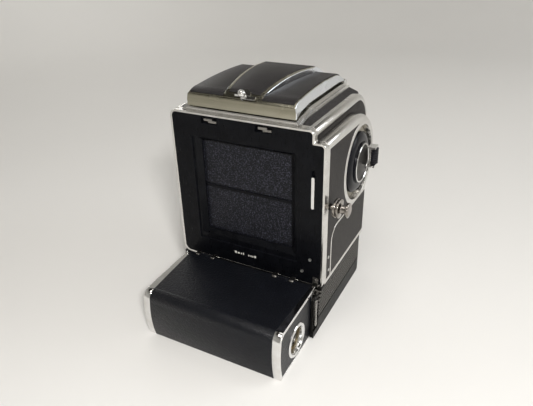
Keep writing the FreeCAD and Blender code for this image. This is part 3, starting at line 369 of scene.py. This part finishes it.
def silvering(name):
    """The mirror's front silvering, with a slight haze."""
    finish = Finish(name, (0.86, 0.87, 0.88), 0.02, metallic=1.0)
    haze = finish.noise(0.15, 4.0)
    finish.feed(finish.shader, "Roughness", finish.between(haze, 0.01, 0.09))
    finish.feed(finish.shader, "Base Color", finish.mix(haze, (0.88, 0.89, 0.9), (0.78, 0.78, 0.75)))
    return finish.material


def filled_paint(name, colour):
    """Paint wiped into an engraved mark: a little uneven and chalky."""
    finish = Finish(name, colour, 0.55)
    chalk = finish.noise(5.0, 3.0)
    finish.feed(finish.shader, "Base Color", finish.mix(chalk, colour, scaled(colour, 0.72)))
    finish.bump((chalk, 0.01, 0.5))
    return finish.material


# The hood lid's flank colour is a painted reflection on its side faces.
NICKEL = plated("satin_nickel", (0.43, 0.41, 0.33), (0.30, 0.285, 0.215), 0.2,
                drawn=(0.04, 1, 1), lines=0.003, flank_reflection=(0.82, 0.84, 0.87))
DECK_NICKEL = plated("deck_nickel", (0.76, 0.75, 0.73), (0.66, 0.65, 0.62), 0.17,
                     drawn=(1, 0.04, 1), lines=0.003)
CHROME = plated("polished_chrome", (0.80, 0.80, 0.80), (0.72, 0.71, 0.69), 0.07,
                lines=0.001, smudge=0.06)
TURNED = plated("turned_chrome", (0.70, 0.69, 0.67), (0.60, 0.58, 0.54), 0.14,
                drawn=(0.3, 1, 1), lines=0.002)
SATIN_GREY = plated("satin_grey", (0.030, 0.027, 0.023), (0.020, 0.018, 0.016), 0.34,
                    drawn=(1, 0.1, 0.1), lines=0.01)
KNOB_STEEL = plated("knob_steel", (0.44, 0.41, 0.38), (0.22, 0.20, 0.18), 0.15,
                    drawn=(0.3, 1, 1), lines=0.003)
HINGE_GREY = plated("rubbed_steel", (0.34, 0.33, 0.31), (0.20, 0.19, 0.18), 0.26,
                    drawn=(0.1, 1, 1), lines=0.006)
PIN_STEEL = plated("pin_steel", (0.66, 0.66, 0.64), (0.5, 0.5, 0.48), 0.38, lines=0.004)
KEY_STEEL = plated("key_steel", (0.28, 0.27, 0.25), (0.14, 0.13, 0.12), 0.2, lines=0.004)
ANNULUS = plated("annulus_nickel", (0.42, 0.39, 0.33), (0.33, 0.31, 0.26), 0.38,
                 drawn=(1, 0.2, 0.2), lines=0.004)
# The cup's dark brassy colour within the rim is partly painted shade.
CUP = plated_cup("plated_cup", "spool_ring", 2.5, (0.80, 0.80, 0.80), (0.30, 0.25, 0.16))
LACQUER = enamel("black_lacquer", (0.004, 0.004, 0.005), 0.38)
# The gate's bluish edge colour is a painted highlight on its bevels.
GATE_ENAMEL = enamel("gate_enamel", (0.0016, 0.0018, 0.0026), 0.3,
                     edge_lightening=0.3, coat=0.03, wear_and_glint_colour=(0.05, 0.056, 0.08))
# The base's ribs carry painted shade in their grooves and a painted highlight along their upper edges; its
# lighter edges show everywhere.
BASE_PAINT = enamel("base_paint", (0.0015, 0.0015, 0.0015), 0.4,
                    edge_lightening=1.0, orange_peel=0.03, wear_and_glint_colour=(0.11, 0.105, 0.095),
                    ribs=(11.9, 2.4, 7, 1.3, 40.6), crest=(0.004, 0.004, 0.0037), least=0.3)
GLOSS_BLACK = glossy_plastic("gloss_black", (0.0015, 0.0016, 0.003), 0.14, gloss=0.16)
BLACK_PLASTIC = glossy_plastic("black_plastic", (0.007, 0.007, 0.009), 0.36, scratch=0.015, gloss=0.3)
HOOD_LEATHER = leather("hood_leather", (0.019, 0.0175, 0.018), (0.006, 0.0055, 0.006),
                       roughness=0.4, gloss=0.25)
BODY_LEATHER = leather("body_leather", (0.015, 0.0125, 0.0115), (0.005, 0.0045, 0.004),
                       roughness=0.45, gloss=0.22)
BOX_LEATHER = leather("box_leather", (0.0042, 0.0048, 0.0070), (0.0018, 0.002, 0.003),
                      grain=1.6, depth=0.17, roughness=0.3, gloss=0.26)
CURTAIN = rubber_cloth("curtain_cloth")
# Its dark tint is painted shade: it darkens what shows through the lens so that its interior looks dark.
GLASS = coated_glass("coated_glass", (0.55, 0.52, 0.66), (0.42, 0.30, 0.85))
CLEAR = coated_glass("clear_glass", (0.95, 0.97, 0.97), (0.9, 0.92, 1.0))
GROUND = ground_glass("ground_glass")
MIRROR = silvering("silvering")
WHITE = filled_paint("white_fill", (0.78, 0.77, 0.72))
RED = filled_paint("red_fill", (0.55, 0.03, 0.02))


# ---------------------------------------------------------------- the CAD nodes' finishes

NODE_FINISH = {
    "aperture_ring": LACQUER, "base_casting": BASE_PAINT, "base_screws": CHROME, "bottom_plate": TURNED,
    "box_cap_left": CHROME, "box_cap_right": CHROME, "box_end_leather": BOX_LEATHER, "box_hinge": HINGE_GREY,
    "box_shell": BOX_LEATHER, "catch_hooks": HINGE_GREY, "crank_grip": BLACK_PLASTIC,
    "curtain_lath": GATE_ENAMEL, "dial_plate": ANNULUS, "film_spool": BLACK_PLASTIC,
    "focus_ring": LACQUER, "focusing_screen": GROUND, "frame_pins": PIN_STEEL,
    "frame_trim": DECK_NICKEL, "front_leather": BODY_LEATHER, "grip_pin": CHROME,
    "hood_base": DECK_NICKEL, "hood_catch": CHROME, "hood_flap_left": LACQUER, "hood_flap_rear": LACQUER,
    "hood_flap_right": LACQUER, "hood_hinge_pin": CHROME, "hood_lid": NICKEL, "hood_skirts": HOOD_LEATHER,
    "interlock_bar": CHROME, "latch_lever": HINGE_GREY, "left_leather": BODY_LEATHER, "lens_barrel": LACQUER,
    "lens_glass": GLASS, "lens_mount": TURNED, "lid_leather_centre": HOOD_LEATHER,
    "lid_leather_sides": HOOD_LEATHER, "lower_roller": LACQUER, "magnifier_arm": LACQUER,
    "magnifier_lens": CLEAR, "mirror_box": LACQUER, "mirror_glass": MIRROR, "mirror_tray": LACQUER,
    "pull_knob": KNOB_STEEL, "rear_frame": GATE_ENAMEL, "release_button": CHROME, "side_housing": DECK_NICKEL,
    "side_leather_lower": BODY_LEATHER, "side_leather_upper": BODY_LEATHER, "speed_dial": TURNED,
    "spool_key": KEY_STEEL, "spool_ring": CUP, "sync_sockets": TURNED, "top_deck": DECK_NICKEL,
    "tripod_socket": TURNED, "upper_roller": LACQUER, "wind_disc": SATIN_GREY, "wind_drum": GLOSS_BLACK,
    "wind_ring": CHROME,
}

# The width of the broken edge on each node that shows one, in millimetres.
EDGE_WIDTH = {
    "hood_lid": 0.6, "box_cap_left": 0.4, "box_cap_right": 0.4, "rear_frame": 0.3, "top_deck": 0.3,
    "side_housing": 0.25, "hood_base": 0.2, "frame_trim": 0.25, "box_shell": 0.3, "base_casting": 0.15,
    "bottom_plate": 0.2, "wind_drum": 0.2, "pull_knob": 0.15, "speed_dial": 0.2, "latch_lever": 0.2,
    "lens_mount": 0.2, "lens_barrel": 0.2, "focus_ring": 0.15, "aperture_ring": 0.15, "box_hinge": 0.12,
    "catch_hooks": 0.12, "lid_leather_centre": 0.12, "lid_leather_sides": 0.12, "side_leather_upper": 0.12,
    "side_leather_lower": 0.12, "left_leather": 0.12, "front_leather": 0.12, "hood_skirts": 0.12,
    "mirror_box": 0.25, "release_button": 0.2, "wind_disc": 0.08, "hood_catch": 0.1, "dial_plate": 0.1,
}
SHARP = math.radians(32)
# From this width on, in millimetres, an edge takes more segments and keeps its width all along.
WIDE_EDGE = 0.5


def break_edges(node, width):
    """Rounds a node's hard edges by a modifier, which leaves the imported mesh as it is."""
    weld = node.modifiers.new("weld", "WELD")
    weld.merge_threshold = 0.002 * MM
    flat = node.modifiers.new("flat_faces", "DECIMATE")
    flat.decimate_type = "DISSOLVE"
    flat.angle_limit = math.radians(0.3)
    bevel = node.modifiers.new("broken_edge", "BEVEL")
    bevel.width = width * MM
    bevel.segments = 2 if width < WIDE_EDGE else 4
    bevel.limit_method = "ANGLE"
    bevel.angle_limit = SHARP
    bevel.use_clamp_overlap = width < WIDE_EDGE
    bevel.harden_normals = True


def dress_nodes():
    """Gives every CAD node its finish and breaks its edges."""
    for name, finish in NODE_FINISH.items():
        node = nodes[name]
        node.data.materials.clear()
        node.data.materials.append(finish)
        if name in EDGE_WIDTH:
            break_edges(node, EDGE_WIDTH[name])


dress_nodes()


# ---------------------------------------------------------------- pieces in mesh code

def piece(name, mesh_data, finish, body, smooth=30):
    """A new mesh piece that rides on a CAD body."""
    mesh = bpy.data.meshes.new(name)
    if isinstance(mesh_data, bmesh.types.BMesh):
        mesh_data.to_mesh(mesh)
        mesh_data.free()
    else:
        vertices, faces = mesh_data
        mesh.from_pydata([Vector(v) * MM for v in vertices], [], faces)
    mesh.materials.append(finish)
    mesh.validate()
    for polygon in mesh.polygons:
        polygon.use_smooth = True
    mesh.set_sharp_from_angle(angle=math.radians(smooth))
    made = bpy.data.objects.new(name, mesh)
    bpy.context.scene.collection.objects.link(made)
    if body:
        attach(made, body)
    return made


def rippled(x, z, seed):
    """How far the cloth stands off its plane, in mm: a fine crinkle over slow waves."""
    fine = noise.fractal(Vector((x * 0.85, z * 0.85, seed)), 0.8, 2.1, 3)
    slow = noise.noise(Vector((x * 0.09, z * 0.16, seed + 5)))
    return 0.15 * fine + 0.12 * slow


def hem_relief(distance):
    """The hem's fold and its stitched groove, in mm, at a distance from the lath."""
    fold_height, fold_at, fold_width = 0.12, 1.6, 0.5
    groove_depth, groove_at, groove_width = 0.10, 2.4, 0.25
    fold = fold_height * math.exp(-((distance - fold_at) / fold_width) ** 2)
    groove = groove_depth * math.exp(-((distance - groove_at) / groove_width) ** 2)
    return fold - groove


def cloth_panel(name, node, seed, hem_at):
    """A curtain's woven panel, a closed sheet between its node's faces, with a sewn hem at the lath."""
    middle, low, high = middle_of(node)
    step, half_thickness = 0.55, 0.12
    across = int((high.x - low.x) / step)
    along = int((high.z - low.z) / step)
    vertices = []
    for side in (1, -1):
        for row in range(along + 1):
            z = low.z + (high.z - low.z) * row / along
            hem = hem_relief(abs(z - hem_at))
            for column in range(across + 1):
                x = low.x + (high.x - low.x) * column / across
                stand = side * half_thickness + rippled(x, z, seed) + hem
                vertices.append((x, middle.y + stand, z))
    faces = []
    layer = (along + 1) * (across + 1)
    for row in range(along):
        for column in range(across):
            a = row * (across + 1) + column
            b, c, d = a + 1, a + across + 2, a + across + 1
            faces.append((d, c, b, a))
            faces.append((layer + a, layer + b, layer + c, layer + d))
    for column in range(across):
        for row, flip in ((0, False), (along, True)):
            a = row * (across + 1) + column
            quad = (a, a + 1, layer + a + 1, layer + a)
            faces.append(quad if not flip else quad[::-1])
    for row in range(along):
        for column, flip in ((0, True), (across, False)):
            a = row * (across + 1) + column
            b = a + across + 1
            quad = (a, b, layer + b, layer + a)
            faces.append(quad if not flip else quad[::-1])
    return piece(name, (vertices, faces), CURTAIN, None, smooth=180)


def make_curtains():
    """The two curtains of cloth, each made as one fixed panel in place of its hidden node; on the camera they
    shorten and lengthen as the lath between them travels.
    """
    lath_low, lath_high = box_in_mm("curtain_lath")
    upper_seed, lower_seed = 3.1, 9.7
    upper = cloth_panel("upper_curtain_cloth", "upper_curtain", upper_seed, lath_high.z)
    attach(upper, "camera")
    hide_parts("upper_curtain")
    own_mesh(upper)
    lower = cloth_panel("lower_curtain_cloth", "lower_curtain", lower_seed, lath_low.z)
    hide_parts("lower_curtain")
    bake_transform(lower)


def skin(name, outline, low_x, high_x, finish, body, edge=0.12):
    """A thin sheet cut to an outline in the side view, in mm, with its outer edges rolled."""
    mesh = bmesh.new()
    near, far = [[mesh.verts.new(Vector((x, y, z)) * MM) for y, z in outline] for x in (low_x, high_x)]
    mesh.faces.new(near)
    mesh.faces.new(far[::-1])
    for index in range(len(outline)):
        after = (index + 1) % len(outline)
        mesh.faces.new((near[after], near[index], far[index], far[after]))
    bmesh.ops.recalc_face_normals(mesh, faces=mesh.faces[:])
    near_face = 0.0001 * MM
    rim = [e for e in mesh.edges if all(abs(v.co.x - low_x * MM) < near_face for v in e.verts)]
    bmesh.ops.bevel(mesh, geom=rim, offset=edge * MM, segments=2, profile=0.5, affect="EDGES")
    bmesh.ops.triangulate(mesh, faces=[f for f in mesh.faces if len(f.verts) > 4])
    return piece(name, mesh, finish, body)


def arc(centre, radius, start, stop, steps=16):
    """Points in the side view on a circle, from one angle in degrees to another."""
    angles = [math.radians(start + (stop - start) * step / steps) for step in range(steps + 1)]
    return [(centre[0] + radius * math.cos(a), centre[1] + radius * math.sin(a)) for a in angles]


def make_shoulder_leather():
    """The leather strip on the winding side between the deck's bright roll and the raised housing."""
    deck_low, deck_high = box_in_mm("top_deck")
    housing_low, housing_high = box_in_mm("side_housing")
    drum = middle_of("wind_drum")[0]
    wind = (drum.y, drum.z)
    clear, roll, join, foot = 0.15, 4.3, 130, 157
    thickness, rear_margin = 0.35, 1.5
    bulge = wind[0] - housing_low.y
    rise = math.sin(math.radians(join))
    wide = (housing_high.z - wind[1] - bulge * rise) / (1 - rise)
    reach = math.radians(join)
    wide_centre = (wind[0] + (bulge - wide) * math.cos(reach), wind[1] + (bulge - wide) * math.sin(reach))
    deck_round = deck_high.z - deck_low.z
    knee = deck_low.y + deck_round
    rear = deck_high.y - rear_margin
    outline = [(rear, housing_high.z + clear), (rear, deck_high.z - roll)]
    outline += arc((knee, deck_low.z), deck_round - roll, 90, 180)
    outline += arc(wind, bulge + clear, foot, join)
    outline += arc(wide_centre, wide + clear, join, 90)[1:]
    skin("shoulder_leather", outline, deck_low.x - thickness, deck_low.x, BODY_LEATHER, "camera")


def bar(name, low, high, finish, body, edge=0.05):
    """A small box with broken edges, given by two corners in mm."""
    mesh = bmesh.new()
    bmesh.ops.create_cube(mesh, size=1)
    middle = (Vector(low) + Vector(high)) / 2
    size = Vector(high) - Vector(low)
    for vertex in mesh.verts:
        vertex.co = (middle + Vector(a * b for a, b in zip(vertex.co, size))) * MM
    bmesh.ops.bevel(mesh, geom=mesh.edges[:], offset=edge * MM, segments=2, profile=0.6, affect="EDGES")
    return piece(name, mesh, finish, body)


def turned(name, profile, centre, axis, finish, body, sides=48):
    """A lathe piece: profile is (distance along the axis, radius) in mm from centre."""
    rings = []
    mesh = bmesh.new()
    along = Vector(axis).normalized()
    across = along.orthogonal().normalized()
    other = along.cross(across)
    for distance, radius in profile:
        ring = []
        for index in range(sides):
            angle = 2 * math.pi * index / sides
            spoke = across * math.cos(angle) + other * math.sin(angle)
            ring.append(mesh.verts.new((Vector(centre) + along * distance + spoke * radius) * MM))
        rings.append(ring)
    for ring, after in zip(rings, rings[1:]):
        for index in range(sides):
            following = (index + 1) % sides
            mesh.faces.new((ring[index], ring[following], after[following], after[index]))
    mesh.faces.new(rings[0][::-1])
    mesh.faces.new(rings[-1])
    bmesh.ops.recalc_face_normals(mesh, faces=mesh.faces[:])
    return piece(name, mesh, finish, body)


def slotted_screw(name, centre, axis, radius, body, finish):
    """A cheese-head screw: a domed head with a real slot across it, all in mm from the head's seat."""
    dome = [(-0.4, radius), (0.15, radius), (0.32, radius * 0.86), (0.4, radius * 0.6), (0.43, 0.05)]
    head = turned(name, dome, centre, axis, finish, body, 32)
    slot_turn, slot_height = 0.6, 0.45
    slot_size = (radius * 3, radius * 0.26, 0.5)
    cutter = bmesh.new()
    bmesh.ops.create_cube(cutter, size=1)
    along = Vector(axis).normalized()
    across = Matrix.Rotation(slot_turn, 3, along) @ along.orthogonal().normalized()
    ways = (across, along.cross(across), along)
    for vertex in cutter.verts:
        shares = zip(ways, vertex.co[:], slot_size)
        place = sum((way * share * long for way, share, long in shares), Vector())
        vertex.co = (Vector(centre) + along * slot_height + place) * MM
    tool_mesh = bpy.data.meshes.new("slot_cutter")
    cutter.to_mesh(tool_mesh)
    cutter.free()
    tool = bpy.data.objects.new("slot_cutter", tool_mesh)
    bpy.context.scene.collection.objects.link(tool)
    boolean = head.modifiers.new("slot", "BOOLEAN")
    boolean.object = tool
    boolean.operation = "DIFFERENCE"
    boolean.solver = "EXACT"
    bpy.context.view_layer.update()
    evaluated = head.evaluated_get(bpy.context.evaluated_depsgraph_get())
    carved = bpy.data.meshes.new_from_object(evaluated)
    head.modifiers.clear()
    head.data = carved
    bpy.data.objects.remove(tool)
    return head


def make_gate_details():
    """Plain white bars of two heights, let into the frame below the gate."""
    frame_back = box_in_mm("rear_frame")[1].y
    sunk, proud, foot, tall, short = 0.25, 0.05, 37.9, 1.5, 1.1
    tall_bars = (0, 4, 7)
    spans = (
        (-8.2, -7.0), (-6.4, -5.7), (-5.1, -4.4), (-3.6, -2.9),
        (0.2, 0.9), (1.7, 2.4), (3.2, 4.6), (5.2, 6.6),
    )
    for number, (left, right) in enumerate(spans):
        height = tall if number in tall_bars else short
        low_corner = (left, frame_back - sunk, foot)
        high_corner = (right, frame_back + proud, foot + height)
        bar(f"index_bar_{number}", low_corner, high_corner, WHITE, "camera", edge=0.03)


def around(centre, axis, radius, degrees):
    """A point on a circle about an axis, in mm, with the directions outwards and along the circle there."""
    angle = math.radians(degrees)
    upright = Vector((0, 0, 1))
    sideways = Vector(axis).cross(upright)
    outwards = upright * math.cos(angle) + sideways * math.sin(angle)
    return Vector(centre) + outwards * radius, outwards, Vector(axis).cross(outwards)


def marks(name, places, finish, body, edge=0.03):
    """Many small bars as one piece: each place is a middle, three directions and a size, in mm."""
    mesh = bmesh.new()
    for middle, directions, size in places:
        for vertex in bmesh.ops.create_cube(mesh, size=1)["verts"]:
            shares = zip(directions, vertex.co[:], size)
            place = sum((way * share * long for way, share, long in shares), Vector())
            vertex.co = (middle + place) * MM
    bmesh.ops.bevel(mesh, geom=mesh.edges[:], offset=edge * MM, segments=1, profile=0.6, affect="EDGES")
    return piece(name, mesh, finish, body)


def make_speed_dial_details():
    """White ticks on the dial's raised face, a finger knurl round its rim and an index on the body."""
    centre, low, high = middle_of("speed_dial")
    radius = (high.z - low.z) / 2
    axis = Vector((1, 0, 0))
    speeds, margin = 12, 1.4
    ticks = []
    for number in range(speeds):
        long = 2.2 if number % 3 == 0 else 1.3
        hub = (high.x, centre.y, centre.z)
        place, outwards, along = around(hub, axis, radius - margin - long / 2, number * 360 / speeds)
        ticks.append((place, (axis, outwards, along), (0.12, long, 0.42)))
    marks("speed_ticks", ticks, WHITE, "speed")
    teeth, knurl_back = 48, 2.7
    knurl = []
    for number in range(teeth):
        hub = (high.x - knurl_back, centre.y, centre.z)
        place, outwards, along = around(hub, axis, radius, number * 360 / teeth)
        knurl.append((place, (axis, outwards, along), (3.0, 0.5, 0.8)))
    marks("speed_knurl", knurl, TURNED, "speed", edge=0.15)
    hub_profile = [(-0.2, 3.4), (0.5, 3.4), (0.75, 3.0), (0.75, 1.2), (0.35, 0.9), (0.35, 0.02)]
    seat = (high.x - 0.5, centre.y, centre.z)
    turned("speed_hub", hub_profile, seat, axis, CHROME, "speed")
    index_profile = [(-0.3, 0.7), (0.1, 0.7), (0.2, 0.45), (0.2, 0.02)]
    above_dial = (box_in_mm("left_leather")[1].x, centre.y, high.z + 2.4)
    turned("speed_index", index_profile, above_dial, axis, RED, "camera", sides=20)


def make_lens_details():
    """Distance and aperture ticks, the focusing index, and the mount's set screws."""
    centre, low, high = middle_of("lens_barrel")
    axis = Vector((0, 1, 0))
    collar = (high.z - low.z) / 2
    ring_low, ring_high = box_in_mm("focus_ring")
    ticks, reach, degrees_apart = [], 10, 4.5
    for number in range(-reach, reach + 1):
        long = 1.8 if number % 5 == 0 else 1.1
        hub = (centre.x, ring_high.y + 0.9 + long / 2, centre.z)
        place, outwards, along = around(hub, axis, collar, number * degrees_apart)
        ticks.append((place, (axis, outwards, along), (long, 0.12, 0.35)))
    marks("distance_ticks", ticks, WHITE, "camera")
    grip = (ring_high.z - ring_low.z) / 2
    place, outwards, along = around((centre.x, ring_high.y - 1.1, centre.z), axis, grip, 0)
    index = [(place, (axis, outwards, along), (1.7, 0.14, 0.7))]
    marks("focus_index", index, RED, "focusing")
    stops, middle_stop, degrees_apart = [], 4, 9
    hub = (centre.x, box_in_mm("aperture_ring")[0].y - 2.0, centre.z)
    for number in range(-middle_stop, middle_stop + 1):
        place, outwards, along = around(hub, axis, collar - 0.6, number * degrees_apart)
        stops.append((place, (axis, outwards, along), (1.5, 0.12, 0.4)))
    marks("aperture_ticks", stops, WHITE, "camera")
    mount, mount_low, mount_high = middle_of("lens_mount")
    rim = (mount_high.z - mount_low.z) / 2 - 0.1
    hub = (mount.x, mount_high.y - 1.8, mount.z)
    for number, degrees in enumerate((60, 180, 300)):
        place, outwards, along = around(hub, axis, rim, degrees)
        slotted_screw(f"mount_screw_{number}", place, outwards, 0.8, "camera", KEY_STEEL)


def make_side_screws():
    """Small cheese-head screws that hold the covers: two by the rear edge and two on the far side."""
    housing_seat = box_in_mm("side_housing")[0].x - 0.02
    for number, (along, up) in enumerate(((28.4, 46.2), (27.6, 36.9))):
        seat = (housing_seat, along, up)
        slotted_screw(f"housing_screw_{number}", seat, (-1, 0, 0), 1.0, "camera", PIN_STEEL)
    cover_seat = box_in_mm("left_leather")[1].x - 0.05
    for number, (along, up) in enumerate(((27, 36), (27, 115))):
        seat = (cover_seat, along, up)
        slotted_screw(f"cover_screw_{number}", seat, (1, 0, 0), 1.3, "camera", KEY_STEEL)


make_curtains()
make_gate_details()
make_shoulder_leather()
make_speed_dial_details()
make_lens_details()
make_side_screws()


# ---------------------------------------------------------------- stage, lights and camera

def plain(name, colour, roughness):
    """A plain matt paint or paper, with only a slight unevenness."""
    finish = Finish(name, colour, roughness)
    soft = finish.noise(0.004, 2.0)
    finish.feed(finish.shader, "Base Color", finish.mix(soft, colour, scaled(colour, 0.97)))
    return finish.material


def make_stage():
    """A pale round floor that curves up into a wall all round, so no view sees its end."""
    mesh = bmesh.new()
    floor_reach, bend, wall_top, sides, steps = 0.75, 0.55, 1.7, 96, 20
    below_object = 0.1 * MM
    profile = [(floor_reach * share, 0.0) for share in (0.25, 0.5, 0.75, 1.0)]
    for step in range(1, steps + 1):
        angle = math.pi / 2 * step / steps
        profile.append((floor_reach + bend * math.sin(angle), bend - bend * math.cos(angle)))
    profile.append((floor_reach + bend, wall_top))
    rings = []
    for radius, height in profile:
        angles = [2 * math.pi * side / sides for side in range(sides)]
        rings.append([mesh.verts.new((radius * math.cos(a), radius * math.sin(a), height)) for a in angles])
    mesh.faces.new(rings[0])
    for ring, after in zip(rings, rings[1:]):
        for side in range(sides):
            following = (side + 1) % sides
            mesh.faces.new((ring[side], after[side], after[following], ring[following]))
    data = bpy.data.meshes.new("floor")
    mesh.to_mesh(data)
    mesh.free()
    for polygon in data.polygons:
        polygon.use_smooth = True
    data.materials.append(plain("floor_paper", (0.80, 0.79, 0.765), 0.7))
    floor = bpy.data.objects.new("floor", data)
    bpy.context.scene.collection.objects.link(floor)
    floor.location.z = cad_box[0][2] - below_object


def area_light(name, place, target, size, power, colour):
    """A rectangular lamp at place, aimed at target; its power is in watts."""
    data = bpy.data.lights.new(name, "AREA")
    data.shape = "RECTANGLE"
    data.size, data.size_y = size
    data.energy = power
    data.color = colour
    light = bpy.data.objects.new(name, data)
    bpy.context.scene.collection.objects.link(light)
    light.location = place
    light.rotation_euler = (Vector(target) - Vector(place)).to_track_quat("-Z", "Y").to_euler()


def make_lights():
    """A camera-side flash, soft panels above, beside, behind and in front, and a dim warm room."""
    middle = (0, 0, 0.08)
    area_light("flash", (-0.33, 0.42, 0.42), middle, (0.08, 0.05), 3.4, (1, 0.985, 0.97))
    area_light("overhead", (0.0, 0.35, 1.2), middle, (0.7, 0.5), 3.6, (1, 0.97, 0.93))
    area_light("side", (-1.0, -0.55, 0.55), (0, 0, 0.1), (0.5, 0.5), 3.4, (0.93, 0.96, 1))
    area_light("backdrop", (-0.2, -0.25, 0.95), (-0.2, -0.75, 0.1), (0.9, 0.4), 1.4, (1, 0.98, 0.95))
    area_light("front", (1.0, -0.75, 0.3), middle, (0.6, 0.4), 3.0, (1, 0.985, 0.96))
    world = bpy.data.worlds.new("studio")
    bpy.context.scene.world = world
    world.use_nodes = True
    background = world.node_tree.nodes["Background"]
    background.inputs["Color"].default_value = (0.72, 0.68, 0.60, 1)
    background.inputs["Strength"].default_value = 0.06


def make_camera():
    """The camera stands behind and above the object, turned and tilted by the angles below."""
    data = bpy.data.cameras.new("camera")
    data.sensor_width = 36
    data.lens = 35.26
    data.clip_start = 0.01
    camera = bpy.data.objects.new("camera", data)
    bpy.context.scene.collection.objects.link(camera)
    stand = Vector((-0.1401, 0.2654, 0.2174))
    yaw, pitch, roll = math.radians(28.42), math.radians(28.23), math.radians(1.571)
    forward = Vector((math.sin(yaw) * math.cos(pitch), -math.cos(yaw) * math.cos(pitch), -math.sin(pitch)))
    right = Vector((-math.cos(yaw), -math.sin(yaw), 0))
    down = forward.cross(right)
    turned_right = right * math.cos(roll) + down * math.sin(roll)
    turned_up = -(down * math.cos(roll) - right * math.sin(roll))
    turn = Matrix((turned_right, turned_up, -forward)).transposed().to_4x4()
    camera.matrix_world = Matrix.Translation(stand) @ turn
    bpy.context.scene.camera = camera


bpy.context.scene.view_settings.view_transform = "Standard"
make_stage()
make_lights()
make_camera()
